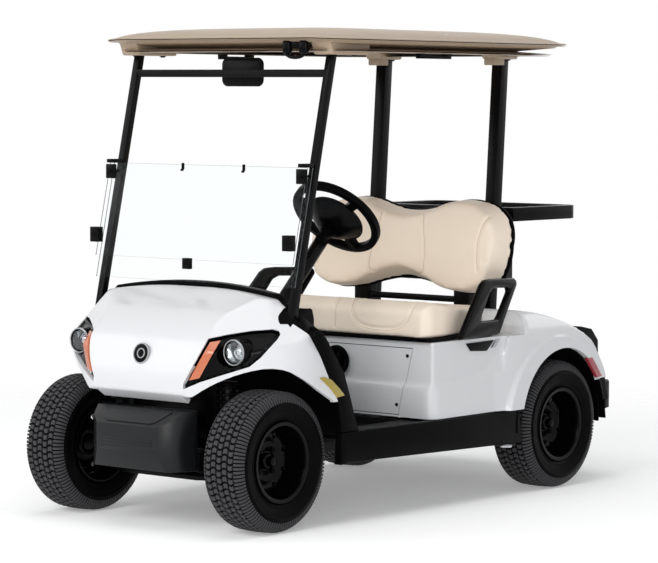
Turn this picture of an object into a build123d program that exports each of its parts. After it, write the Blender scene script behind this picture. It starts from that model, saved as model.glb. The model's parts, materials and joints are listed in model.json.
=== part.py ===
from build123d import *
import os
from math import cos, radians, sin, tan

os.makedirs("parts", exist_ok=True)

# A two-seat petrol golf cart, in millimetres.
# +X is the driver's side, -Y the front and +Z up; the floor is Z 0 and the origin is under the middle.

# ---- Driving dimensions -------------------------------------------------------------------------
wheelbase = 1640
front_axle_y = -940
rear_axle_y = front_axle_y + wheelbase
front_half_track = 435
rear_half_track = 490
tyre_radius = 252
tyre_width = 178
bead_radius = 133
front_end_y = -1190
rear_end_y = 1192
skin = 4
panel_gap = 1.5

# ---- Cowl, in side view (y, z) ---------------------------------------------------------------------
hood_rear = (-838, 848)
hood_middle = (-972, 775)
hood_crease = (-1083, 668)
nose_middle = (-1121, 580)
nose_low = (-1136, 486)
nose_lip = (-1088, 452)
fender_low = (-692, 452)
fender_high = (-859, 738)
cowl_corner = (-840, 796)

# ---- Seat pod and rear fenders, in side view -------------------------------------------------------
pod_front_y = -130
pod_half_width = 565
body_half_width = 598
body_low_z = 338
pod_top_z = 625
deck_z = 715
deck_front_y = 432
side_step = 7
well_front_y = 700
well_half_width = 488
arch_radius = 285
arch_centre = (683, 272)

# ---- Cabin -----------------------------------------------------------------------------------------
floor_z = 330
floor_front_y = -590
seat_hinge_y = 296
seat_hinge_z = 632
wheel_centre = (240, -305, 1090)
column_rise = 44
pillar_x = 468
pillar_foot = (-844, 712)
pillar_head = (-622, 1682)
pillar_size = 27
strut_x = 291
strut_foot = (594, deck_z)
strut_head = (661, 1700)
strut_size = 48

# ---- Roof ------------------------------------------------------------------------------------------
roof_half_width = 600
roof_front_y = -740
roof_rear_y = 766
roof_crown_z = 1793
roof_corner = 140


def cowl_block(inset):
    """The cowl's outside as one block, each face moved in by inset."""
    with BuildPart() as block:
        with BuildSketch(Plane.YZ):
            with BuildLine():
                ThreePointArc(hood_rear, hood_middle, hood_crease)
                ThreePointArc(hood_crease, nose_middle, nose_low)
                Polyline(nose_low, nose_lip, fender_low, fender_high, cowl_corner, hood_rear)
            make_face()
            offset(amount=-inset, kind=Kind.INTERSECTION)
        extrude(amount=620, both=True)
        with BuildSketch():
            with BuildLine():
                ThreePointArc((-215, -1136), (0, -1141), (215, -1136))
                ThreePointArc((215, -1136), (372, -1056), (500, -946))
                ThreePointArc((500, -946), (546, -876), (562, -790))
                Polyline((562, -790), (566, -640), (-566, -640), (-562, -790))
                ThreePointArc((-562, -790), (-546, -876), (-500, -946))
                ThreePointArc((-500, -946), (-372, -1056), (-215, -1136))
            make_face()
            offset(amount=-inset, kind=Kind.INTERSECTION)
        extrude(amount=900, mode=Mode.INTERSECT)
        with BuildSketch(Plane.XZ):
            with BuildLine():
                ThreePointArc((-431, 797), (0, 849), (431, 797))
                ThreePointArc((431, 797), (500, 764), (545, 715))
                Polyline((545, 715), (566, 600), (566, 400), (-566, 400), (-566, 600), (-545, 715))
                ThreePointArc((-545, 715), (-500, 764), (-431, 797))
            make_face()
            offset(amount=-inset, kind=Kind.INTERSECTION)
        extrude(amount=1300, both=True, mode=Mode.INTERSECT)
        for side in (-1, 1):
            brow = Plane(origin=(side * 281, -1055, 690), z_dir=(side * 0.225, -0.551, 0.803))
            split(bisect_by=brow.offset(-inset), keep=Keep.BOTTOM)
    return block.part


def front_arch(grow):
    """Both front wheel openings as cutting blocks, grown outwards by grow."""
    with BuildPart() as arch:
        with BuildSketch(Plane.YZ.offset(205)):
            with BuildLine():
                Polyline((-1160, 400), (-1145, 444), (-1128, 466))
                ThreePointArc((-1128, 466), (-1082, 532), (-1010, 576))
                ThreePointArc((-1010, 576), (-966, 584), (-914, 571))
                Line((-914, 571), (-810, 508))
                Polyline((-810, 508), (-718, 457), (-690, 400), (-1160, 400))
            make_face()
            offset(amount=grow, kind=Kind.INTERSECTION)
        extrude(amount=420)
        mirror(about=Plane.YZ)
    return arch.part


def lamp_outline(grow):
    """The two headlamp openings as cutting blocks that lie along the cowl's slanted corners."""
    with BuildPart() as opening:
        face = Plane(origin=(222, -1137, 0), x_dir=(0.824, 0.566, 0), z_dir=(0.566, -0.824, 0))
        with BuildSketch(face.offset(-130)):
            with BuildLine():
                Polyline((6, 506), (92, 680), (318, 702), (332, 694), (244, 594), close=True)
            make_face()
            offset(amount=grow, kind=Kind.INTERSECTION)
        extrude(amount=200)
        mirror(about=Plane.YZ)
    return opening.part


# ---- Chassis ---------------------------------------------------------------------------------------
rail_x = 175
rail_width = 50
rail_outside_x = rail_x + rail_width
with BuildPart() as frame_rails:
    with BuildSketch(Plane.YZ.offset(rail_x)):
        with BuildLine():
            Polyline((-1056, 205), (-640, 205), (340, 225), (440, 330), (1066, 330))
            Polyline((1066, 330), (1066, 385), (415, 385), (315, 290), (-640, 315), (-1056, 270))
            Line((-1056, 270), (-1056, 205))
        make_face()
    extrude(amount=rail_width)
    mirror(about=Plane.YZ)
frame_rails.part.label = "frame_rails"
export_step(frame_rails.part, "parts/frame_rails.step")

# Each row: middle y, length along y, lowest z, highest z and outer end x; where the end lies beyond
# the rails, the member goes on outside them. The rear struts stand on two stubs of their own.
member_rows = (
    (-1040, 30, 222, 262, rail_x),
    (-640, 30, 222, 262, rail_x),
    (60, 30, 232, 272, rail_x),
    (1050, 30, 335, 375, rail_x),
    (509, 62, 345, 385, rail_x),
    (-480, 34, 283, 317, 535),
    (-200, 34, 283, 317, 535),
)
with BuildPart() as frame_members:
    for member_y, member_length, low_z, high_z, end_x in member_rows:
        with Locations((0, member_y, low_z)):
            Box(2 * rail_x, member_length, high_z - low_z, align=(Align.CENTER, Align.CENTER, Align.MIN))
        if end_x > rail_outside_x:
            for side in (-1, 1):
                with Locations((side * (rail_outside_x + end_x) / 2, member_y, low_z)):
                    Box(end_x - rail_outside_x, member_length, high_z - low_z,
                        align=(Align.CENTER, Align.CENTER, Align.MIN))
    for side in (-1, 1):
        with Locations((side * (rail_outside_x + 335) / 2, 572, 345)):
            Box(335 - rail_outside_x, 62, 40, align=(Align.CENTER, Align.CENTER, Align.MIN))
frame_members.part.label = "frame_members"
export_step(frame_members.part, "parts/frame_members.step")

with BuildPart() as spring_towers:
    for side in (-1, 1):
        with Locations((side * 200, front_axle_y, 240)):
            Box(50, 50, 282, align=(Align.CENTER, Align.CENTER, Align.MIN))
        with Locations((side * 233, front_axle_y, 512)):
            Box(116, 64, 10, align=(Align.CENTER, Align.CENTER, Align.MIN))
    add(frame_rails.part, mode=Mode.SUBTRACT)
spring_towers.part.label = "spring_towers"
export_step(spring_towers.part, "parts/spring_towers.step")

hitch_hole_y = 1092
with BuildPart() as tow_tab:
    with BuildSketch(Plane.XY.offset(335)):
        with Locations((0, 1090)):
            Rectangle(70, 50)
        with Locations((0, hitch_hole_y)):
            Circle(8, mode=Mode.SUBTRACT)
    extrude(amount=10)
tow_tab.part.label = "tow_tab"
export_step(tow_tab.part, "parts/tow_tab.step")

# ---- Floor -----------------------------------------------------------------------------------------
toe_top = (-700, 556)
with BuildPart() as floor_pan:
    with BuildSketch(Plane.YZ.offset(-534)):
        with BuildLine():
            Polyline((pod_front_y - 3, floor_z), (floor_front_y, floor_z), (-640, 420), toe_top)
            Polyline(toe_top, (-712, 552), (-652, 414), (-600, 317), (pod_front_y - 3, 317))
            Line((pod_front_y - 3, 317), (pod_front_y - 3, floor_z))
        make_face()
    extrude(amount=1068)
floor_pan.part.label = "floor_pan"
export_step(floor_pan.part, "parts/floor_pan.step")

# ---- Front cowl and lamps ---------------------------------------------------------------------------
lip_width = 26
cowl_outside = cowl_block(0)
cowl_inside = cowl_block(skin)
with BuildPart() as front_cowl:
    add(cowl_outside)
    add(cowl_inside, mode=Mode.SUBTRACT)
    add(Pos(0, 10, 0) * cowl_inside, mode=Mode.SUBTRACT)
    add(Pos(0, 0, -10) * cowl_inside, mode=Mode.SUBTRACT)
    add((cowl_outside - cowl_block(lip_width)) & (front_arch(skin) - front_arch(0)))
    add(front_arch(0), mode=Mode.SUBTRACT)
    add(lamp_outline(0), mode=Mode.SUBTRACT)
    for side in (-1, 1):
        with Locations((side * pillar_x, -842, 690)):
            Box(48, 90, 200, align=(Align.CENTER, Align.CENTER, Align.MIN), mode=Mode.SUBTRACT)
front_cowl.part.label = "front_cowl"
export_step(front_cowl.part, "parts/front_cowl.step")


def turn_outline(grow):
    """The slanting turn lamps at the inner edge of each headlamp opening, as cutting blocks."""
    with BuildPart() as strip:
        face = Plane(origin=(222, -1137, 0), x_dir=(0.824, 0.566, 0), z_dir=(0.566, -0.824, 0))
        with BuildSketch(face.offset(-130)):
            with BuildLine():
                Polyline((18, 518), (90, 668), (122, 672), (54, 528), close=True)
            make_face()
            offset(amount=grow, kind=Kind.INTERSECTION)
        extrude(amount=200)
        mirror(about=Plane.YZ)
    return strip.part


lamp_x = 375
lamp_z = 636
lamp_radius = 46
with BuildPart() as headlamp_housings:
    add(lamp_outline(-panel_gap) & (cowl_block(3) - cowl_block(60)))
    for side in (-1, 1):
        with Locations(Location((side * lamp_x, -1080, lamp_z), (90, 0, 0))):
            Cylinder(lamp_radius + 1, 260, mode=Mode.SUBTRACT)
    add(turn_outline(1) & (cowl_block(0) - cowl_block(30)), mode=Mode.SUBTRACT)
headlamp_housings.part.label = "headlamp_housings"
export_step(headlamp_housings.part, "parts/headlamp_housings.step")

with BuildPart() as turn_lenses:
    add(turn_outline(0) & (cowl_block(4) - cowl_block(24)))
turn_lenses.part.label = "turn_lenses"
export_step(turn_lenses.part, "parts/turn_lenses.step")

with BuildPart() as headlamp_lenses:
    for side in (-1, 1):
        with BuildSketch(Plane.XZ.offset(1000)):
            with Locations((side * lamp_x, lamp_z)):
                Circle(lamp_radius)
        extrude(amount=62)
headlamp_lenses.part.label = "headlamp_lenses"
export_step(headlamp_lenses.part, "parts/headlamp_lenses.step")

bumper_back_y = -1062


def bumper_block(wall):
    """The front bumper's outside as one block, each outer face moved in by wall."""
    with BuildPart() as block:
        with BuildSketch(Plane.YZ):
            with BuildLine():
                Polyline((bumper_back_y, 210), (-1172, 210), (front_end_y, 272), (front_end_y, 370))
                Polyline((front_end_y, 370), (-1118, 424), (bumper_back_y, 424), (bumper_back_y, 210))
            make_face()
            offset(amount=-wall, kind=Kind.INTERSECTION)
        extrude(amount=300, both=True)
        with BuildSketch():
            with BuildLine():
                Polyline((-226, bumper_back_y), (-226, -1080), (-190, -1160), (-146, front_end_y))
                Polyline((-146, front_end_y), (146, front_end_y), (190, -1160), (226, -1080))
                Polyline((226, -1080), (226, bumper_back_y), (-226, bumper_back_y))
            make_face()
            offset(amount=-wall, kind=Kind.INTERSECTION)
        extrude(amount=500, mode=Mode.INTERSECT)
    return block.part


with BuildPart() as front_bumper:
    add(bumper_block(0))
    add(Pos(0, 10, 0) * bumper_block(skin), mode=Mode.SUBTRACT)
front_bumper.part.label = "front_bumper"
export_step(front_bumper.part, "parts/front_bumper.step")

# ---- Side trims, rockers and dash -------------------------------------------------------------------
trim_inside_x = 536
trim_outside_x = 566
with BuildPart() as side_trims:
    with BuildSketch(Plane.YZ.offset(trim_inside_x)):
        with BuildLine():
            Polyline((-857, 738), (-716, 498), (-690, 450), (-671, 338), (-574, 338), (-588, 370))
            Polyline((-588, 370), (-626, 473), (-659, 553), (-717, 628), (-766, 688), (-822, 738), (-857, 738))
        make_face()
    extrude(amount=trim_outside_x - trim_inside_x)
    mirror(about=Plane.YZ)
side_trims.part.label = "side_trims"
export_step(side_trims.part, "parts/side_trims.step")

with BuildPart() as rockers:
    with BuildSketch(Plane.YZ.offset(trim_inside_x)):
        with BuildLine():
            Polyline((-679, 222), (-640, 228), (416, 203), (394, 334), (-578, 337))
            Polyline((-578, 337), (-671, 337), (-679, 222))
        make_face()
    extrude(amount=36)
    mirror(about=Plane.YZ)
rockers.part.label = "rockers"
export_step(rockers.part, "parts/rockers.step")

dash_back_y = -700
column_direction = (0, cos(radians(column_rise)), sin(radians(column_rise)))
column_plane = Plane(origin=wheel_centre, x_dir=(1, 0, 0), z_dir=column_direction)
column_radius = 26
column_length = 490
column_top = -70
cup_x = 60
cup_radius = 41
cup_floor_z = 745
with BuildPart() as dash:
    with BuildSketch(Plane.YZ):
        with BuildLine():
            Polyline((-836, 858), (-800, 842), (dash_back_y - 10, 776), (dash_back_y, 740))
            Polyline((dash_back_y, 740), (dash_back_y - 8, 566), (-836, 566), (-836, 858))
        make_face()
    extrude(amount=534, both=True)
    with BuildSketch(Plane.XZ):
        with BuildLine():
            ThreePointArc((-431, 797), (0, 849), (431, 797))
            Polyline((431, 797), (500, 752), (534, 700), (534, 500), (-534, 500), (-534, 700))
            Polyline((-534, 700), (-500, 752), (-431, 797))
        make_face()
    extrude(amount=1300, both=True, mode=Mode.INTERSECT)
    for pocket_x, pocket_width in ((-285, 250), (378, 150)):
        with Locations((pocket_x, -768, 690)):
            Box(pocket_width, 104, 400, align=(Align.CENTER, Align.CENTER, Align.MIN), mode=Mode.SUBTRACT)
    for side in (-1, 1):
        with Locations((side * cup_x, -762, cup_floor_z)):
            Cylinder(cup_radius, 300, align=(Align.CENTER, Align.CENTER, Align.MIN), mode=Mode.SUBTRACT)
    for side in (-1, 1):
        with Locations((side * pillar_x, -842, 706)):
            Box(44, 90, 200, align=(Align.CENTER, Align.CENTER, Align.MIN), mode=Mode.SUBTRACT)
    with BuildSketch(Plane.YZ.offset(459)):
        with BuildLine():
            Polyline((-860, 803), (-791, 743), (-727, 684), (-690, 642), (-690, 900), (-860, 900), (-860, 803))
        make_face()
    extrude(amount=100, mode=Mode.SUBTRACT)
    with BuildSketch(Plane.YZ.offset(-559)):
        with BuildLine():
            Polyline((-860, 803), (-791, 743), (-727, 684), (-690, 642), (-690, 900), (-860, 900), (-860, 803))
        make_face()
    extrude(amount=100, mode=Mode.SUBTRACT)
    with BuildSketch(column_plane.offset(column_top - column_length - 2)):
        Circle(column_radius + 1)
    extrude(amount=column_length, mode=Mode.SUBTRACT)
dash.part.label = "dash"
export_step(dash.part, "parts/dash.step")


# ---- Seat pod and rear fenders -----------------------------------------------------------------------
def rear_block(inset):
    """The pod's and fenders' outside as one block, each face moved in by inset."""
    with BuildPart() as block:
        with BuildSketch(Plane.YZ):
            with BuildLine():
                Polyline((pod_front_y, body_low_z), (pod_front_y, pod_top_z), (deck_front_y, pod_top_z))
                Polyline((deck_front_y, pod_top_z), (deck_front_y + 20, 658))
                Line((deck_front_y + 20, 658), (deck_front_y + 38, deck_z - 3))
                ThreePointArc((deck_front_y + 38, deck_z - 3), (700, 662), (870, 580))
                ThreePointArc((870, 580), (952, 495), (1004, 405))
                Polyline((1004, 405), (1028, body_low_z), (pod_front_y, body_low_z))
            make_face()
            offset(amount=-inset, kind=Kind.INTERSECTION)
        extrude(amount=620, both=True)
        with BuildSketch():
            with BuildLine():
                ThreePointArc((525, pod_front_y), (553, pod_front_y + 12), (pod_half_width, pod_front_y + 40))
                Line((pod_half_width, pod_front_y + 40), (pod_half_width, 260))
                ThreePointArc((pod_half_width, 260), (586, 360), (body_half_width, 480))
                Polyline((body_half_width, 480), (body_half_width, 880), (584, 1040), (-584, 1040))
                Polyline((-584, 1040), (-body_half_width, 880), (-body_half_width, 480))
                ThreePointArc((-body_half_width, 480), (-586, 360), (-pod_half_width, 260))
                Line((-pod_half_width, 260), (-pod_half_width, pod_front_y + 40))
                ThreePointArc(
                    (-pod_half_width, pod_front_y + 40), (-553, pod_front_y + 12), (-525, pod_front_y)
                )
                Line((-525, pod_front_y), (525, pod_front_y))
            make_face()
            offset(amount=-inset, kind=Kind.INTERSECTION)
        extrude(amount=900, mode=Mode.INTERSECT)
        with BuildSketch(Plane.XZ):
            with BuildLine():
                Polyline((-body_half_width, 300), (-body_half_width, 560))
                ThreePointArc((-body_half_width, 560), (-575, 660), (-480, 722))
                Line((-480, 722), (480, 722))
                ThreePointArc((480, 722), (575, 660), (body_half_width, 560))
                Polyline((body_half_width, 560), (body_half_width, 300), (-body_half_width, 300))
            make_face()
            offset(amount=-inset, kind=Kind.INTERSECTION)
        extrude(amount=1300, both=True, mode=Mode.INTERSECT)
        for side in (-1, 1):
            with BuildSketch(Plane.YZ.offset(side * (pod_half_width - side_step - inset))):
                with BuildLine():
                    Polyline((-300, 458), (26, 458))
                    ThreePointArc((26, 458), (170, 492), (272, 609))
                    Polyline((272, 609), (276, 700), (-300, 700), (-300, 458))
                make_face()
                offset(amount=inset, kind=Kind.INTERSECTION)
            extrude(amount=side * 100, mode=Mode.SUBTRACT)
    return block.part


def rear_arch(radius):
    """Both rear wheel openings as cutting blocks of the given radius."""
    with BuildPart() as arch:
        with BuildSketch(Plane.YZ.offset(500)):
            with Locations(arch_centre):
                Circle(radius)
            with Locations((arch_centre[0], arch_centre[1] - 200)):
                Rectangle(2 * radius, 400)
        extrude(amount=130)
        mirror(about=Plane.YZ)
    return arch.part


panel_half_width = 456
panel_low_z = 345
panel_high_z = 600
seat_opening_half = 504
rear_outside = rear_block(0)
rear_inside = rear_block(skin)
with BuildPart() as rear_body:
    add(rear_outside)
    add(rear_inside, mode=Mode.SUBTRACT)
    add(Pos(0, 0, -12) * rear_inside, mode=Mode.SUBTRACT)
    add((rear_outside - rear_block(26)) & (rear_arch(arch_radius + skin) - rear_arch(arch_radius)))
    add(rear_arch(arch_radius), mode=Mode.SUBTRACT)
    with Locations((0, pod_front_y, panel_low_z)):
        Box(2 * panel_half_width, 40, panel_high_z - panel_low_z,
            align=(Align.CENTER, Align.CENTER, Align.MIN), mode=Mode.SUBTRACT)
    with Locations((0, -90, pod_top_z - 20)):
        Box(2 * seat_opening_half, 402, 60, align=(Align.CENTER, Align.MIN, Align.MIN), mode=Mode.SUBTRACT)
    with Locations((0, well_front_y, 300)):
        Box(2 * well_half_width + 4, 500, 500, align=(Align.CENTER, Align.MIN, Align.MIN),
            mode=Mode.SUBTRACT)
    for side in (-1, 1):
        with Locations((side * strut_x, strut_foot[0] - 2, 640)):
            Box(56, 66, 100, align=(Align.CENTER, Align.CENTER, Align.MIN), mode=Mode.SUBTRACT)
rear_body.part.label = "rear_body"
export_step(rear_body.part, "parts/rear_body.step")

selector_x = 106
selector_z = 533
selector_radius = 59
with BuildPart() as access_panel:
    with Locations((0, pod_front_y, panel_low_z + panel_gap)):
        Box(2 * (panel_half_width - panel_gap), skin, panel_high_z - panel_low_z - 2 * panel_gap,
            align=(Align.CENTER, Align.MIN, Align.MIN))
    with Locations(Location((selector_x, pod_front_y, selector_z), (90, 0, 0))):
        Cylinder(selector_radius - 8, 40, mode=Mode.SUBTRACT)
access_panel.part.label = "access_panel"
export_step(access_panel.part, "parts/access_panel.step")

with BuildPart() as selector:
    with BuildSketch(Plane.XZ.offset(-pod_front_y)):
        with Locations((selector_x, selector_z)):
            Circle(selector_radius)
            Circle(selector_radius - 16, mode=Mode.SUBTRACT)
    extrude(amount=7)
    with BuildSketch(Plane.XZ.offset(-pod_front_y)):
        with Locations((selector_x, selector_z)):
            Circle(selector_radius - 9)
            Circle(selector_radius - 16, mode=Mode.SUBTRACT)
    extrude(amount=-30)
    with BuildSketch(Plane.XZ.offset(-pod_front_y - 26)):
        with Locations((selector_x, selector_z)):
            Circle(selector_radius - 9)
    extrude(amount=-4)
    with BuildSketch(Plane.XZ.offset(-pod_front_y - 26)):
        with Locations(Location((selector_x, selector_z), 70)):
            SlotOverall(74, 22)
    extrude(amount=24)
selector.part.label = "selector"
export_step(selector.part, "parts/selector.step")

# ---- Bag well, rear bumper, lamps and flaps ------------------------------------------------------------
tub_half_width = 378
tub_floor_z = 395
tub_rear_y = 1076
wing_points = (
    (well_front_y + 2, 534), (well_front_y + 2, 652), (843, 628), (964, 618), (1036, 604),
    (1082, 556), (1084, 500), (1046, 440), (992, 440), (962, 534),
)
with BuildPart() as bag_well:
    with BuildSketch(Plane.YZ.offset(tub_half_width - 6)):
        Polygon(*wing_points, align=None)
    extrude(amount=well_half_width - tub_half_width + 6)
    with BuildSketch(Plane.YZ.offset(tub_half_width)):
        Polygon(*wing_points, align=None)
        offset(amount=-5, kind=Kind.INTERSECTION)
        with Locations((880, 520)):
            Rectangle(160, 40)
    extrude(amount=well_half_width - tub_half_width - 5, mode=Mode.SUBTRACT)
    mirror(about=Plane.YZ)
    with BuildSketch(Plane.YZ.offset(-tub_half_width)):
        with BuildLine():
            Polyline((well_front_y + 2, tub_floor_z), (well_front_y + 2, 652), (843, 628), (964, 618))
            Polyline((964, 618), (1036, 604), (1046, 440), (tub_rear_y, 440), (tub_rear_y, tub_floor_z))
            Line((tub_rear_y, tub_floor_z), (well_front_y + 2, tub_floor_z))
        make_face()
    extrude(amount=2 * tub_half_width)
    with Locations((0, well_front_y + 8, tub_floor_z + 6)):
        Box(2 * tub_half_width - 12, tub_rear_y - well_front_y - 14, 400,
            align=(Align.CENTER, Align.MIN, Align.MIN), mode=Mode.SUBTRACT)
bag_well.part.label = "bag_well"
export_step(bag_well.part, "parts/bag_well.step")


def rear_bumper_block(wall):
    """The rear bumper's outside as one block, each outer face moved in by wall."""
    with BuildPart() as block:
        with BuildSketch():
            with BuildLine():
                Polyline((-528, 1078), (-514, 1128), (-470, rear_end_y - 6))
                ThreePointArc((-470, rear_end_y - 6), (0, rear_end_y), (470, rear_end_y - 6))
                Polyline((470, rear_end_y - 6), (514, 1128), (528, 1078), (-528, 1078))
            make_face()
            offset(amount=-wall, kind=Kind.INTERSECTION)
        extrude(amount=500)
        with BuildSketch(Plane.YZ):
            with BuildLine():
                Polyline((1078, 280), (1176, 280), (rear_end_y, 300), (rear_end_y, 376))
                Polyline((rear_end_y, 376), (1180, 388), (1078, 388), (1078, 280))
            make_face()
            offset(amount=-wall, kind=Kind.INTERSECTION)
        extrude(amount=600, both=True, mode=Mode.INTERSECT)
    return block.part


with BuildPart() as rear_bumper:
    add(rear_bumper_block(0))
    add(Pos(0, -10, 0) * rear_bumper_block(skin), mode=Mode.SUBTRACT)
    with Locations((0, 1060, 260)):
        Box(110, 78, 200, align=(Align.CENTER, Align.MIN, Align.MIN), mode=Mode.SUBTRACT)
rear_bumper.part.label = "rear_bumper"
export_step(rear_bumper.part, "parts/rear_bumper.step")

with BuildPart() as tail_lamps:
    for side in (-1, 1):
        with BuildSketch(Plane.XZ.offset(-1086)):
            with Locations((side * 434, 530)):
                Circle(36)
        extrude(amount=-14)
tail_lamps.part.label = "tail_lamps"
export_step(tail_lamps.part, "parts/tail_lamps.step")

with BuildPart() as mud_flaps:
    with BuildSketch(Plane.YZ.offset(452)):
        with BuildLine():
            Polyline((1002, body_low_z), (1014, 250), (1020, 250), (1008, body_low_z), (1002, body_low_z))
        make_face()
    extrude(amount=120)
    mirror(about=Plane.YZ)
mud_flaps.part.label = "mud_flaps"
export_step(mud_flaps.part, "parts/mud_flaps.step")

# ---- Seat --------------------------------------------------------------------------------------------
cushion_half_width = 548
cushion_rear_half_width = 490
cushion_low_z = 640
cushion_top_z = 768
hinge_pin_radius = 4
pan_rear_y = 306
pan_rear_half = 496
with BuildPart() as seat_hinges:
    for side in (-1, 1):
        with BuildSketch(Plane.YZ.offset(side * 462)):
            with Locations((seat_hinge_y, seat_hinge_z)):
                Circle(hinge_pin_radius)
        extrude(amount=side * 46)
        with BuildSketch(Plane.YZ.offset(side * 508)):
            with Locations((seat_hinge_y, (pod_top_z + 642) / 2)):
                Rectangle(20, 642 - pod_top_z)
        extrude(amount=side * 6)
seat_hinges.part.label = "seat_hinges"
export_step(seat_hinges.part, "parts/seat_hinges.step")

with BuildPart() as seat_pan:
    with BuildSketch(Plane.XY.offset(pod_top_z + 1)):
        with BuildLine():
            Polyline((-536, -138), (536, -138), (548, -120), (548, -30), (pan_rear_half, pan_rear_y))
            Polyline((pan_rear_half, pan_rear_y), (-pan_rear_half, pan_rear_y), (-548, -30))
            Polyline((-548, -30), (-548, -120), (-536, -138))
        make_face()
    extrude(amount=cushion_low_z - pod_top_z - 1.5)
    for side in (-1, 1):
        with Locations(Location((side * 480, seat_hinge_y, seat_hinge_z), (0, 90, 0))):
            Cylinder(hinge_pin_radius + 0.5, 60, mode=Mode.SUBTRACT)
seat_pan.part.label = "seat_pan"
export_step(seat_pan.part, "parts/seat_pan.step")

with BuildPart() as seat_cushion:
    with BuildSketch(Plane.XY.offset(cushion_low_z)):
        with BuildLine():
            Polyline((-520, -150), (520, -150), (cushion_half_width, -118), (cushion_half_width, -30))
            Polyline((cushion_half_width, -30), (cushion_rear_half_width, 300))
            Line((cushion_rear_half_width, 300), (-cushion_rear_half_width, 300))
            Line((-cushion_rear_half_width, 300), (-cushion_half_width, -30))
            Line((-cushion_half_width, -30), (-cushion_half_width, -118))
            Line((-cushion_half_width, -118), (-520, -150))
        make_face()
    extrude(amount=cushion_top_z - cushion_low_z)
    with BuildSketch(Plane.YZ):
        with BuildLine():
            Line((-152, 640), (301, 640))
            Line((301, 640), (301, 735))
            ThreePointArc((301, 735), (60, 745), (-96, 768))
            ThreePointArc((-96, 768), (-138, 752), (-152, 712))
            Line((-152, 712), (-152, 640))
        make_face()
    extrude(amount=620, both=True, mode=Mode.INTERSECT)
seat_cushion.part.label = "seat_cushion"
export_step(seat_cushion.part, "parts/seat_cushion.step")

# The backrest leans back about its lower front edge; its outline is drawn in its own leaning plane.
back_lean = 12
back_half_width = 478
back_foot_y = 410
back_thickness = 98
back_plane = Plane(
    origin=(0, back_foot_y, 800),
    x_dir=(1, 0, 0),
    z_dir=(0, -cos(radians(back_lean)), sin(radians(back_lean))),
)


def backrest_outline(half, dip, hump, lobe, arch):
    """The backrest's outline in the leaning plane: its half width and four heights."""
    right = (
        ((0, dip), (100, 0.72 * dip + 0.28 * hump), (176, 0.26 * dip + 0.74 * hump)),
        ((176, 0.26 * dip + 0.74 * hump), (250, hump), (330, hump - 7)),
        ((330, hump - 7), (half - 80, hump - 27), (half - 30, hump - 66)),
        ((half - 30, hump - 66), (half - 5, hump - 118), (half, hump - 180)),
        ((half, hump - 180), (half - 6, 86), (half - 38, 16)),
        ((half - 38, 16), (half - 90, lobe + 10), (300, lobe)),
        ((300, lobe), (235, lobe + 6), (176, 0.68 * lobe + 0.32 * arch)),
        ((176, 0.68 * lobe + 0.32 * arch), (96, 0.26 * lobe + 0.74 * arch), (0, arch)),
    )
    with BuildSketch(Plane.XY) as outline:
        with BuildLine():
            for start, middle, end in right:
                ThreePointArc(start, middle, end)
            for start, middle, end in reversed(right):
                ThreePointArc((-end[0], end[1]), (-middle[0], middle[1]), (-start[0], start[1]))
        make_face()
    return outline.sketch


back_outline = backrest_outline(back_half_width, 309, 354, -21, 32)
with BuildPart() as backrest_cushion:
    with BuildSketch(back_plane.offset(-back_thickness / 2)):
        add(back_outline)
    with BuildSketch(back_plane.offset(back_thickness / 2)):
        add(backrest_outline(back_half_width - 24, 262, 324, -24, 64))
    loft(ruled=True)
backrest_cushion.part.label = "backrest_cushion"
export_step(backrest_cushion.part, "parts/backrest_cushion.step")

with BuildPart() as backrest_panel:
    with BuildSketch(back_plane.offset(-back_thickness / 2 - 1)):
        add(back_outline)
    extrude(amount=-10)
backrest_panel.part.label = "backrest_panel"
export_step(backrest_panel.part, "parts/backrest_panel.step")

bracket_x = 250


def back_rear_y(height):
    """Where the backrest panel's rear face stands at a height, with a small gap."""
    behind = back_thickness / 2 + 11.5
    return back_foot_y + behind / cos(radians(back_lean)) + (height - 800) * tan(radians(back_lean))


with BuildPart() as backrest_brackets:
    with BuildSketch(Plane.YZ.offset(bracket_x)):
        with BuildLine():
            Polyline((466, deck_z - 20), (512, deck_z - 20), (524, 760), (536, 950))
            Line((536, 950), (back_rear_y(950), 950))
            Polyline((back_rear_y(950), 950), (back_rear_y(770), 770), (466, 750), (466, deck_z - 20))
        make_face()
    extrude(amount=36, both=True)
    mirror(about=Plane.YZ)
    with Locations((0, 482, 740)):
        Box(2 * bracket_x, 20, 24)
    add(rear_outside, mode=Mode.SUBTRACT)
backrest_brackets.part.label = "backrest_brackets"
export_step(backrest_brackets.part, "parts/backrest_brackets.step")

arm_toe_in = 9.2
arm_plane = Plane(
    origin=(594, 0, 0),
    x_dir=(-sin(radians(arm_toe_in)), cos(radians(arm_toe_in)), 0),
    z_dir=(cos(radians(arm_toe_in)), sin(radians(arm_toe_in)), 0),
)
with BuildPart() as armrests:
    with BuildSketch(arm_plane):
        with BuildLine() as arm_line:
            Polyline((2, 632), (416, 628), (496, 842), (190, 858), (2, 632))
        make_face()
        fillet(arm_line.vertices(), 24)
        with BuildLine() as hole_line:
            Polyline((158, 686), (352, 690), (412, 806), (262, 812), (158, 686))
        make_face(mode=Mode.SUBTRACT)
    extrude(amount=-26)
    mirror(about=Plane.YZ)
armrests.part.label = "armrests"
export_step(armrests.part, "parts/armrests.step")

# ---- Roof ----------------------------------------------------------------------------------------------
roof_y = (roof_front_y + roof_rear_y) / 2
roof_length = roof_rear_y - roof_front_y
# Each row: how far the outline stands in from the rim, its height and its corner radius.
roof_rows = ((34, 1736, 120), (52, 1757, 130), (150, 1781, 160), (330, roof_crown_z, 160))


def roof_outline(inset, corner):
    """A rounded rectangle that stands in from the roof's rim by inset."""
    with BuildSketch(Plane.XY) as outline:
        with Locations((0, roof_y)):
            RectangleRounded(2 * (roof_half_width - inset), roof_length - 2 * inset, corner)
    return outline.sketch


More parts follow.
